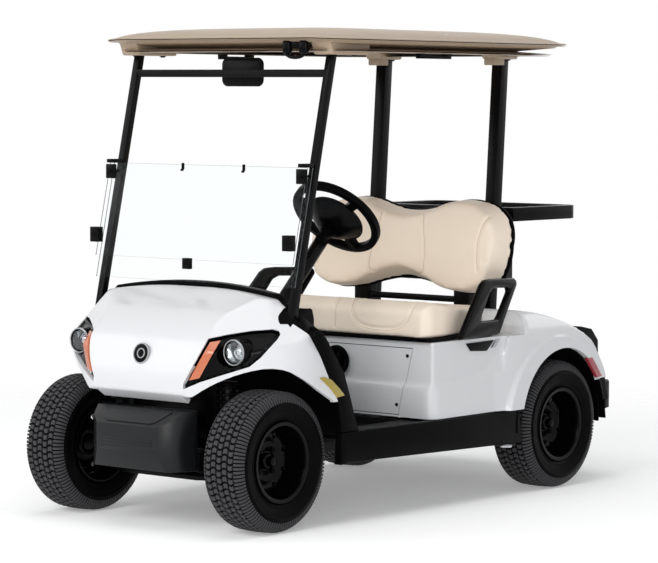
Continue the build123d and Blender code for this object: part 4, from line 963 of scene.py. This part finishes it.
# The roof's section from the rim to the crown: inset, height and corner radius.
ROOF_TOP = ((26, 1751, 124), (38, 1757, 126), (54, 1763, 130), (80, 1770, 134),
            (120, 1777, 142), (170, 1783, 150), (250, 1788.5, 140), (340, 1792, 110), (440, 1793, 60), (500, 1793, 40))
ROOF_UNDER = ((8, 1737.5, 134), (30, 1735.5, 130), (36, 1730, 127), (44, 1706, 122), (49, 1701, 118), (58, 1699, 114),
              (140, 1699, 92), (150, 1702, 90), (162, 1716, 86), (180, 1742, 84), (230, 1776, 80), (330, 1785, 70),
              (500, 1787, 40))
FRONT_BOW = 11


def ring_stack(name, rows, half_x, low_y, high_y):
    """Rings of a rounded rectangle, stacked and bridged, with the last one filled."""
    rings = []
    for inset, height, corner in rows:
        deselect()
        outline = rounded_rectangle(half_x - inset, low_y + inset, high_y - inset, corner)
        bpy.ops.mesh.primitive_circle_add(vertices=len(outline), radius=1, fill_type="NOTHING")
        ring = bpy.context.object
        for vertex, (x, y) in zip(ring.data.vertices, outline):
            vertex.co = (x * MM, y * MM, height * MM)
        rings.append(ring)
    made = combine(rings, name)
    edit(made)
    bpy.ops.mesh.bridge_edge_loops()
    done(made)
    top = rows[-1][1]
    edit(made, edges=lambda e: len(e.link_faces) == 1 and all(abs(v.co.z / MM - top) < 0.01 for v in e.verts))
    bpy.ops.mesh.fill_grid(span=9)
    return done(made)


class CART_OT_roof(bpy.types.Operator):
    """Model the roof, its rim, its raised crown and the pads over the posts"""
    bl_idname = "cart.roof"
    bl_label = "Roof"

    def execute(self, context):
        rim = ((0, 1743, 140), (1.5, 1746, 139), (5, 1747.6, 138), (16, 1748.5, 136))
        upper = ring_stack("roof_top", rim + ROOF_TOP, 600, -740, 766)
        lower = ring_stack("roof_under", ((0, 1743, 140), (1, 1740, 139), (4, 1738, 138)) + ROOF_UNDER,
                           600, -740, 766)
        made = combine([upper, lower], "roof_shell")
        outward(made)
        # The front edge bows up a little between its corners.
        points = points_of(made)
        share = np.clip((-points[:, 1] - 380) / 360, 0, 1) * np.clip((1793 - points[:, 2]) / 40, 0, 1)
        share *= np.clip((points[:, 2] - 1712) / 20, 0, 1)
        points[:, 2] += FRONT_BOW * share * (1 - (points[:, 0] / 600) ** 2)
        set_points(made, points)
        soften(made, 0, angle=50)
        pads = []
        for x, low_y, high_y, half in ((468, -668, -458, 45), (291, 590, 724, 40)):
            for side in (-1, 1):
                pad = block("pad", (side * x - half, low_y, 1688), (side * x + half, high_y, 1742))
                points = points_of(pad)
                points[points[:, 2] > 1700, 1] += np.where(points[points[:, 2] > 1700, 1] < (low_y + high_y) / 2, -22, 10)
                set_points(pad, points)
                pads.append(soften(pad, 7, 3))
        for side in (-1, 1):
            pads.append(block("sleeve", (side * 291 - 29, 588, 1664), (side * 291 + 29, 650, 1700), 4))
        pads = combine(pads, "roof_pads")
        soften(pads, 0)
        place(made, CHASSIS, "roof_plastic", "tan_roof_sheet", ["roof"])
        place(pads, CHASSIS, "roof_plastic", "tan_roof_sheet")
        bolts = []
        for x, spots in ((468, (-640, -490)), (291, (604, 710))):
            for y in spots:
                for side in (-1, 1):
                    bolts.append(rod("bolt", (side * x, y, 1682), (side * x, y, 1689), 9, 16, 1.5))
                    bolts.append(rod("washer", (side * x, y, 1686), (side * x, y, 1689), 13, 20, 0.6))
        bolts = combine(bolts, "roof_bolts")
        soften(bolts, 0)
        place(bolts, CHASSIS, "black_steel", "powder_coated_steel")
        knob = turned("roof_knob", [(0, 1772), (6, 1771.5), (9, 1769), (9, 1750), (0, 1750)], (0, 0, 0), (0, 0, 1), 20)
        knob.location = (0.52, -0.01, 0)
        settle(knob)
        soften(knob, 0, angle=50)
        place(knob, CHASSIS, "bare_steel", "zinc_plated_steel")
        grips = node_copy("roof_handles", "roof_grips", 5, 3)
        place(grips, CHASSIS, "black_trim", "satin_black_abs", ["roof_handles"])
        return {"FINISHED"}


# ---- Cushions ---------------------------------------------------------------------------------------
LEAN, BACK_Y, BACK_THICK, CUSHION_LOW = math.radians(12), 410, 98, 640
# Sewn lines of the backrest: x and height along the leaning plane above z 800, on the front.
BACK_SEAMS = (
    ((104, 275), (112, 215), (124, 170), (130, 137), (136, 95), (135, 50), (126, 26), (110, 10)),
    ((439, 295), (424, 275), (403, 251), (391, 215), (386, 179), (384, 150), (387, 124), (392, 85), (401, 53)),
)
# Sewn lines of the seat: x, y and z near its surface.
SEAT_SEAMS = (
    ((181, 240, 760), (181, 60, 775), (181, -90, 790), (183, -140, 770), (186, -160, 730), (196, -160, 700),
     (222, -160, 680), (262, -160, 670), (320, -160, 667), (385, -160, 670), (425, -160, 680), (452, -160, 702),
     (464, -160, 735), (468, -138, 770), (468, -90, 785), (466, 60, 775), (462, 240, 760)),
    ((100, 250, 760), (100, 60, 775), (100, -90, 790), (100, -140, 770), (100, -165, 730), (100, -165, 665)),
)


def dense(points, gap=3.0):
    """A line of points in millimetres, rounded at its corners and spaced evenly."""
    points = np.array(points, float)
    for _ in range(3):
        ahead = points[:-1] * 0.75 + points[1:] * 0.25
        behind = points[:-1] * 0.25 + points[1:] * 0.75
        points = np.vstack([points[:1], np.stack([ahead, behind], 1).reshape(-1, 3), points[-1:]])
    run = np.r_[0, np.cumsum(np.linalg.norm(np.diff(points, axis=0), axis=1))]
    at = np.linspace(0, run[-1], max(2, int(run[-1] / gap)))
    return np.stack([np.interp(at, run, points[:, i]) for i in range(3)], 1)


def onto(obj, points):
    """The nearest points of obj's surface, with their normals, in millimetres."""
    found = [obj.closest_point_on_mesh(Vector(p) * MM) for p in points]
    return np.array([f[1] for f in found]) / MM, np.array([f[2] for f in found])


def drawn_on(obj, line, gap):
    """A line laid on obj's surface and drawn smooth, with the surface's normals along it."""
    path = dense(line, gap)
    for _ in range(2):
        path, _ = onto(obj, path)
        for _ in range(int(60 / gap)):
            path[1:-1] = (path[:-2] + 2 * path[1:-1] + path[2:]) / 4
    return onto(obj, path)


def cushion(node, name, edge, voxel, pressure, grow, cap, hold):
    """A padded piece from a CAD cushion: remeshed, moved out by grow, blown up as cloth by at most cap,
    kept flat where hold says that it rests on something, and subdivided."""
    made = node_copy(node, name, edge, 4)
    modify(made, "REMESH", mode="VOXEL", voxel_size=voxel * MM)
    modify(made, "SMOOTH", factor=0.5, iterations=3)
    set_points(made, points_of(made) + normals_of(made) * grow)
    start = points_of(made)
    pick(made)
    cloth = made.modifiers.new("Cloth", "CLOTH")
    cloth.settings.quality = 5
    cloth.settings.mass = 0.4
    cloth.settings.tension_stiffness = cloth.settings.compression_stiffness = 18
    cloth.settings.shear_stiffness = 8
    cloth.settings.bending_stiffness = 2
    cloth.settings.use_pressure = True
    cloth.settings.uniform_pressure_force = pressure
    cloth.settings.effector_weights.gravity = 0
    cloth.collision_settings.use_collision = False
    cloth.point_cache.frame_end = 20
    for at in range(1, 21):
        bpy.context.scene.frame_set(at)
    seen = made.evaluated_get(bpy.context.evaluated_depsgraph_get())
    blown = np.zeros(len(made.data.vertices) * 3, np.float32)
    seen.data.vertices.foreach_get("co", blown)
    blown = blown.reshape(-1, 3).astype(float) / MM
    made.modifiers.remove(cloth)
    bpy.context.scene.frame_set(1)
    move = blown - start
    move -= move.mean(axis=0) * np.array([1, 0, 0])
    length = np.linalg.norm(move, axis=1, keepdims=True)
    move *= np.minimum(1, cap / np.maximum(length, 1e-6))
    set_points(made, hold(start + move))
    modify(made, "SMOOTH", factor=0.5, iterations=4)
    modify(made, "SUBSURF", levels=1, render_levels=1)
    set_points(made, hold(points_of(made)))
    pick(made)
    bpy.ops.object.shade_smooth()
    return made


def sew(obj, lines, depth):
    """Draw the vinyl in along sewn lines, and lay the thread in the groove."""
    threads = []
    points, facing = points_of(obj), normals_of(obj)
    for line in lines:
        path, _ = drawn_on(obj, line, 3)
        low, high = path.min(axis=0) - 30, path.max(axis=0) + 30
        near = np.flatnonzero(((points > low) & (points < high)).all(axis=1))
        gap = np.full(len(near), 1e9)
        for part in np.array_split(path, max(1, len(path) // 60)):
            gap = np.minimum(gap, np.linalg.norm(points[near][:, None] - part[None], axis=2).min(axis=1))
        dip = depth * np.exp(-(gap / 5.0) ** 2) - 0.35 * depth * np.exp(-((gap - 15) / 9.0) ** 2)
        points[near] -= facing[near] * dip[:, None]
    set_points(obj, points)
    for line in lines:
        path, outwards = drawn_on(obj, line, 7)
        threads.append(bent_bar("seam", path + outwards * 0.1, 0.9, 6))
    return combine(threads, obj.name + "_seams")


class CART_OT_seat(bpy.types.Operator):
    """Model the seat cushion and the backrest cushion, padded and sewn"""
    bl_idname = "cart.seat"
    bl_label = "Seat and backrest cushions"

    def execute(self, context):
        look = context.scene.cart_look
        lean = np.array([0, -math.cos(LEAN), math.sin(LEAN)])
        up = np.array([0, math.sin(LEAN), math.cos(LEAN)])
        foot = np.array([0, BACK_Y, 800])

        def rest_on_pan(points):
            points[:, 2] = np.maximum(points[:, 2], CUSHION_LOW)
            return points

        def rest_on_panel(points):
            deep = (points - foot) @ lean
            return points + np.outer(np.maximum(0, -BACK_THICK / 2 + 0.5 - deep), lean)

        for node, name, edge, grow, cap, hold, lines in (
                ("seat_cushion", "seat_cushion_padded", 26, -1, 7, rest_on_pan, SEAT_SEAMS),
                ("backrest_cushion", "backrest_cushion_padded", 30, 4, 6, rest_on_panel,
                 [[tuple(foot + up * h + lean * 60 + np.array([x, 0, 0])) for x, h in line] for line in BACK_SEAMS])):
            made = cushion(node, name, edge, 9, look.cushion_pressure, grow, cap, hold)
            both = [line for side in (-1, 1) for line in ([(side * x, y, z) for x, y, z in run] for run in lines)]
            seams = sew(made, both, look.seam_depth / MM)
            body = frame["nodes"][node]["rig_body"]
            place(made, body, "seat_vinyl", "beige_marine_vinyl", [node])
            place(seams, body, "seat_vinyl", "seam_thread")
        return {"FINISHED"}


# The armrest's loop in its own plane, which is toed in: distance back from the foot, and height.
ARM_X, ARM_TOE_IN, ARM_THICK = 594, math.radians(9.2), 26
ARM_OUTLINE = [(6, 629), (188, 828), (215, 843), (268, 846), (456, 839), (474, 829), (478, 812), (330, 628)]
ARM_HOLE = [(170, 688), (180, 708), (250, 797), (284, 809), (405, 804), (419, 790), (337, 700), (320, 686)]


class CART_OT_armrests(bpy.types.Operator):
    """Model the two armrest loops beside the seat"""
    bl_idname = "cart.armrests"
    bl_label = "Armrests"

    def execute(self, context):
        arm = prism("armrests_looped", "YZ", ARM_OUTLINE, -ARM_THICK, 0)
        cut(arm, prism("hole", "YZ", ARM_HOLE, -60, 60))
        arm.matrix_world = Matrix.Translation((ARM_X * MM, 0, 0)) @ Matrix.Rotation(ARM_TOE_IN, 4, "Z")
        soften(settle(arm), 8, 4)
        arm = outward(reflected(arm))
        soften(arm, 0)
        place(arm, frame["nodes"]["armrests"]["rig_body"], "black_trim", "satin_black_abs", ["armrests"])
        return {"FINISHED"}


# ---- Pieces that keep their drawn form ---------------------------------------------------------------
# Node, slot, finish, edge round in millimetres; the body is the node's own.
DRAWN = (
    # The bumper's black is painted paler for the light on its upward slopes.
    ("front_bumper", "black_trim", "pale_black_olefin_painted_light", 10),
    ("side_trims", "black_trim", "grained_polypropylene", 2),
    ("rockers", "black_trim", "grained_polypropylene", 4),
    ("floor_pan", "black_trim", "grained_polypropylene", 2),
    ("dash", "black_trim", "grained_polypropylene", 4),
    ("bag_well", "black_trim", "grained_polypropylene", 4),
    ("rear_bumper", "black_trim", "grained_polypropylene", 5),
    ("tail_lamps", "red_lens", "red_polycarbonate", 2),
    ("mud_flaps", "mat_rubber", "mat_rubber", 2),
    ("seat_hinges", "black_steel", "powder_coated_steel", 1),
    ("backrest_panel", "black_trim", "grained_polypropylene", 4),
    ("backrest_brackets", "black_steel", "powder_coated_steel", 2),
    ("front_pillars", "black_steel", "powder_coated_steel", 3),
    ("mirror", "mirror_shell", "satin_black_abs", 4),
    ("windshield", "clear_acrylic", "clear_acrylic_sheet", 1),
    ("windshield_fittings", "black_trim", "satin_black_abs", 2),
    ("rear_struts", "black_steel", "powder_coated_steel", 3),
    ("bag_rack", "black_steel", "powder_coated_steel", 3),
    ("basket", "black_steel", "powder_coated_steel", 2),
    ("engine", "engine_block", "engine_castings", 6),
    ("rear_axle", "black_steel", "powder_coated_steel", 2),
    ("rear_suspension", "black_steel", "powder_coated_steel", 1),
    ("front_suspension", "black_steel", "powder_coated_steel", 1),
    ("frame_rails", "black_steel", "powder_coated_steel", 2),
    ("frame_members", "black_steel", "powder_coated_steel", 2),
    ("spring_towers", "black_steel", "powder_coated_steel", 1.5),
    ("tow_tab", "black_steel", "powder_coated_steel", 1),
    ("steering_column", "black_trim", "satin_black_abs", 2),
    ("pedals", "black_steel", "powder_coated_steel", 2),
    ("seat_pan", "black_trim", "grained_polypropylene", 1.5),
    ("knuckle_left", "black_steel", "powder_coated_steel", 1.5),
    ("knuckle_right", "black_steel", "powder_coated_steel", 1.5),
    ("steering_wheel", "black_trim", "grained_polypropylene", 2),
    ("steering_rack", "bare_steel", "zinc_plated_steel", 1.5),
)


class CART_OT_drawn(bpy.types.Operator):
    """Round the edges of the pieces whose drawn form is already their real one"""
    bl_idname = "cart.drawn"
    bl_label = "Plain pieces"

    def execute(self, context):
        for node, slot, material, bevel in DRAWN:
            made = node_copy(node, node + "_finished", bevel)
            if node == "rockers":
                points = points_of(made)
                points[points[:, 1] > 380, 1] += 24
                set_points(made, points)
            if node in ("side_trims", "dash"):
                for side in (-1, 1):
                    point, facing = BROWS[1]
                    edit(made)
                    bpy.ops.mesh.bisect(plane_co=(side * point[0] * MM, point[1] * MM, (point[2] - 3) * MM),
                                        plane_no=(side * facing[0], *facing[1:]), clear_outer=True, use_fill=True)
                    done(made)
            place(made, frame["nodes"][node]["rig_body"], slot, material, [node])
            if node == "windshield":
                made.data.materials.append(MATERIALS["acrylic_edge"])
                faces = made.data.polygons
                widest = max(f.area for f in faces)
                main = next(f.normal.copy() for f in faces if f.area == widest)
                for face in faces:
                    face.material_index = 0 if abs(face.normal.dot(main)) > 0.9 else 1
        return {"FINISHED"}


def on_slope(obj, origin, lift):
    """Turn a piece drawn flat onto a slope that rises to the rear, at an origin in millimetres."""
    obj.matrix_world = Matrix.Translation(Vector(origin) * MM) @ Matrix.Rotation(lift, 4, "X")
    return settle(obj)


class CART_OT_fittings(bpy.types.Operator):
    """Model the small fittings: bumper relief, springs, windshield cheeks and hooks, roof latch, mirror glass"""
    bl_idname = "cart.fittings"
    bl_label = "Small fittings"

    def execute(self, context):
        # The raised trapezoid on the bumper's slope and the ribs across its face.
        slope = math.atan2(54, 72)
        plate = prism("plate", "XY", [(-104, 10), (104, 10), (124, 20), (164, 80), (-164, 80), (-124, 20)], -4, 6)
        relief = [soften(on_slope(plate, (0, -1190, 370), slope), 3, 3, 40)]
        for z in (318, 308, 298):
            relief.append(block("rib", (-122, -1192, z - 2.4), (122, -1186, z + 2.4), 1.6))
        relief.append(block("lip", (-132, -1191.6, 274), (132, -1184, 284), 3))
        relief = combine(relief, "bumper_relief")
        soften(relief, 0, angle=40)
        # The relief wears the bumper's black, painted paler for the light on its upward slopes.
        place(relief, CHASSIS, "black_trim", "pale_black_olefin_painted_light")

        # Ribs across the rubber mat of the foot well.
        rib = block("rib", (-430, -596, 329.5), (430, -590, 332), 1)
        modify(rib, "ARRAY", count=26, use_relative_offset=False, use_constant_offset=True,
               constant_offset_displace=(0, 0.0168, 0))
        rib.name = "mat_ribs"
        soften(rib, 0, angle=40)
        place(rib, CHASSIS, "mat_rubber", "mat_rubber")

        # Coil springs round the front and rear struts.
        coils = []
        for x, y, low, high, radius, turns in ((258, -940, 318, 506, 37, 8), (290, 638, 238, 380, 35, 6)):
            for side in (-1, 1):
                steps = turns * 10
                helix = [(side * x + radius * math.cos(math.tau * i / 10), y + radius * math.sin(math.tau * i / 10),
                          low + (high - low) * i / steps) for i in range(steps + 1)]
                coils.append(bent_bar("coil", helix, 5, 8))
        coils = combine(coils, "coil_springs")
        place(coils, CHASSIS, "black_steel", "powder_coated_steel")

        # Cheeks and hooks of the folding windshield.
        cheeks = []
        for side in (-1, 1):
            cheeks.append(block("cheek", (side * 464 - 25, -784, 1227), (side * 464 + 25, -776, 1281), 3))
            cheeks.append(rod("pin", (side * 464, -790, 1254), (side * 464, -740, 1254), 5, 16, 1))
        for x in (-106, 189):
            cheeks.append(block("hook", (x - 5, -780, 1268), (x + 5, -772, 1292), 2))
            cheeks.append(block("hook_end", (x - 3, -788, 1262), (x + 3, -774, 1270), 2))
        cheeks = combine(cheeks, "windshield_cheeks")
        soften(cheeks, 0, angle=40)
        place(cheeks, CHASSIS, "black_trim", "satin_black_abs")

        # The broad boss behind the steering wheel, which fills most of the room between its spokes.
        boss = turned("steering_boss", [(0, 6), (58, 6), (92, 3), (112, -4), (114, -9), (108, -15), (84, -36), (58, -58),
                                        (44, -64), (0, -64)], WHEEL_CENTRE, COLUMN_AXIS, 48)
        soften(boss, 0, angle=35)
        place(boss, "steering_wheel", "black_trim", "satin_black_abs")

        # The latch under the roof's front edge.
        latch = [block("ear", (312, -712, 1690), (346, -690, 1738), 7, 3), block("ear", (388, -712, 1692), (424, -690, 1738), 7, 3),
                 block("bridge", (340, -704, 1712), (394, -692, 1734), 3),
                 bent_bar("bow", [(322, -704, 1700), (330, -708, 1684), (368, -710, 1676), (410, -708, 1682),
                                  (416, -704, 1700)], 7)]
        latch = combine(latch, "roof_latch")
        soften(latch, 0, angle=40)
        place(latch, CHASSIS, "black_trim", "satin_black_abs")

        # The mirror's silvered face, turned to the driver.
        outline = [(20 + x, 1626 + y) for x, y in rounded_rectangle(91, -46, 46, 22)]
        glass = prism("mirror_glass", "XZ", outline, -581, -578.6)
        soften(glass, 0.6, 2, 40)
        place(glass, CHASSIS, "mirror_shell", "silvered_glass")
        return {"FINISHED"}


# ---- Stage -------------------------------------------------------------------------------------------
class CART_OT_stage(bpy.types.Operator):
    """Set up the pale floor, the soft lamps and the camera"""
    bl_idname = "cart.stage"
    bl_label = "Floor, light and camera"

    def execute(self, context):
        scene = context.scene
        deselect()
        bpy.ops.mesh.primitive_plane_add(size=160, location=(0, 0, 0))
        floor = bpy.context.object
        floor.name = "floor"
        # Matt white studio paper: it lights up a little to the camera, and thins out to the white far away.
        paper = bpy.data.materials.new("white_studio_paper")
        paper.use_nodes = True
        tree = paper.node_tree
        shader = tree.nodes["Principled BSDF"]
        shader.inputs["Base Color"].default_value = (0.94, 0.94, 0.94, 1)
        shader.inputs["Roughness"].default_value = 0.9
        shader.inputs["Specular IOR Level"].default_value = 0.05
        path = add(tree, "LightPath")
        glow = add(tree, "Emission", values={"Color": (1, 1, 1, 1), "Strength": 0.27})
        clear = add(tree, "BsdfTransparent")
        spot = add(tree, "TexCoord")
        reach = add(tree, "VectorMath", {0: spot.outputs["Object"]}, operation="LENGTH")
        far = add(tree, "MapRange", {"Value": reach.outputs["Value"]},
                  {"From Min": 1.2, "From Max": 5.0, "To Min": 0.0, "To Max": 1.0}, interpolation_type="SMOOTHSTEP")
        thin = add(tree, "Math", {0: far.outputs["Result"], 1: path.outputs["Is Camera Ray"]}, operation="MULTIPLY")
        both = add(tree, "AddShader", {0: shader.outputs[0], 1: glow.outputs[0]})
        whole = add(tree, "MixShader", {0: thin.outputs[0], 1: both.outputs[0], 2: clear.outputs[0]})
        tree.links.new(whole.outputs[0], tree.nodes["Material Output"].inputs["Surface"])
        floor.data.materials.append(paper)

        world = bpy.data.worlds.new("studio")
        scene.world = world
        world.use_nodes = True
        tree = world.node_tree
        tree.nodes.clear()
        path = add(tree, "LightPath")
        past = add(tree, "Math", {0: path.outputs["Is Camera Ray"], 1: path.outputs["Is Transmission Ray"]},
                   operation="MAXIMUM")
        seen = add(tree, "Math", {0: past.outputs[0], 1: path.outputs["Is Glossy Ray"]}, operation="MAXIMUM")
        soft = add(tree, "Background", values={"Color": (0.95, 0.975, 1.0, 1), "Strength": 0.27})
        white = add(tree, "Background", values={"Color": (1, 1, 1, 1), "Strength": 1.0})
        mixed = add(tree, "MixShader", {0: seen.outputs[0], 1: soft.outputs[0], 2: white.outputs[0]})
        tree.nodes.new("ShaderNodeOutputWorld")
        tree.links.new(mixed.outputs[0], tree.nodes["World Output"].inputs["Surface"])

        for name, spot, aim, size, power in (
                ("key", (1.0, -8.5, 6.0), (0, 0, 0.8), 5.0, 340),
                ("fill", (-7.0, -6.0, 5.0), (0, 0, 0.8), 6.0, 120),
                ("cabin", (5.2, -7.4, 1.9), (0, 0, 0.6), 3.0, 170),
                ("top", (0, 0, 8.5), (0, 0, 0), 8.0, 250),
                ("back", (2.0, 8.0, 5.0), (0, 0, 1.0), 5.0, 100)):
            lamp = bpy.data.lights.new(name, "AREA")
            lamp.shape = "DISK"
            lamp.size = size
            lamp.energy = power
            holder = bpy.data.objects.new(name, lamp)
            bpy.context.collection.objects.link(holder)
            holder.location = spot
            holder.rotation_euler = (Vector(aim) - Vector(spot)).to_track_quat("-Z", "Y").to_euler()

        lens = bpy.data.cameras.new("camera")
        lens.lens = 157.4
        lens.sensor_width = 36
        lens.clip_end = 200
        viewer = bpy.data.objects.new("camera", lens)
        bpy.context.collection.objects.link(viewer)
        azimuth, pitch, roll = (math.radians(v) for v in (39.07, 3.75, 0.31))
        ahead = Vector((-math.sin(azimuth) * math.cos(pitch), math.cos(azimuth) * math.cos(pitch), -math.sin(pitch)))
        right = Vector((math.cos(azimuth), math.sin(azimuth), 0))
        up = right.cross(ahead)
        level, tall = right * math.cos(roll) + up * math.sin(roll), up * math.cos(roll) - right * math.sin(roll)
        turn = Matrix((level, tall, -ahead)).transposed().to_4x4()
        viewer.matrix_world = Matrix.Translation((6.976, -8.645, 1.551)) @ turn
        scene.camera = viewer
        scene.view_settings.view_transform = "Standard"
        return {"FINISHED"}


OPERATORS = (CART_OT_cowl, CART_OT_rear, CART_OT_wheels, CART_OT_roof, CART_OT_seat, CART_OT_armrests, CART_OT_drawn,
             CART_OT_fittings, CART_OT_stage)


class CART_PT_pieces(bpy.types.Panel):
    """The cart's pieces, in the order they are modelled"""
    bl_idname = "CART_PT_pieces"
    bl_label = "Golf Cart"
    bl_space_type = "VIEW_3D"
    bl_region_type = "UI"
    bl_category = "Golf Cart"

    def draw(self, context):
        look = context.scene.cart_look
        for name in CartLook.__annotations__:
            self.layout.prop(look, name)
        for operator in OPERATORS:
            self.layout.operator(operator.bl_idname)


CLASSES = (CartLook, *OPERATORS, CART_PT_pieces)


def register():
    for item in CLASSES:
        bpy.utils.register_class(item)
    bpy.types.Scene.cart_look = PointerProperty(type=CartLook)


def unregister():
    del bpy.types.Scene.cart_look
    for item in reversed(CLASSES):
        bpy.utils.unregister_class(item)


def main():
    register()
    make_materials(bpy.context.scene.cart_look)
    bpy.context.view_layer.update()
    for operator in OPERATORS:
        getattr(bpy.ops.cart, operator.bl_idname.split(".")[1])()
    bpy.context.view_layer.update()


if __name__ == "__main__":
    main()
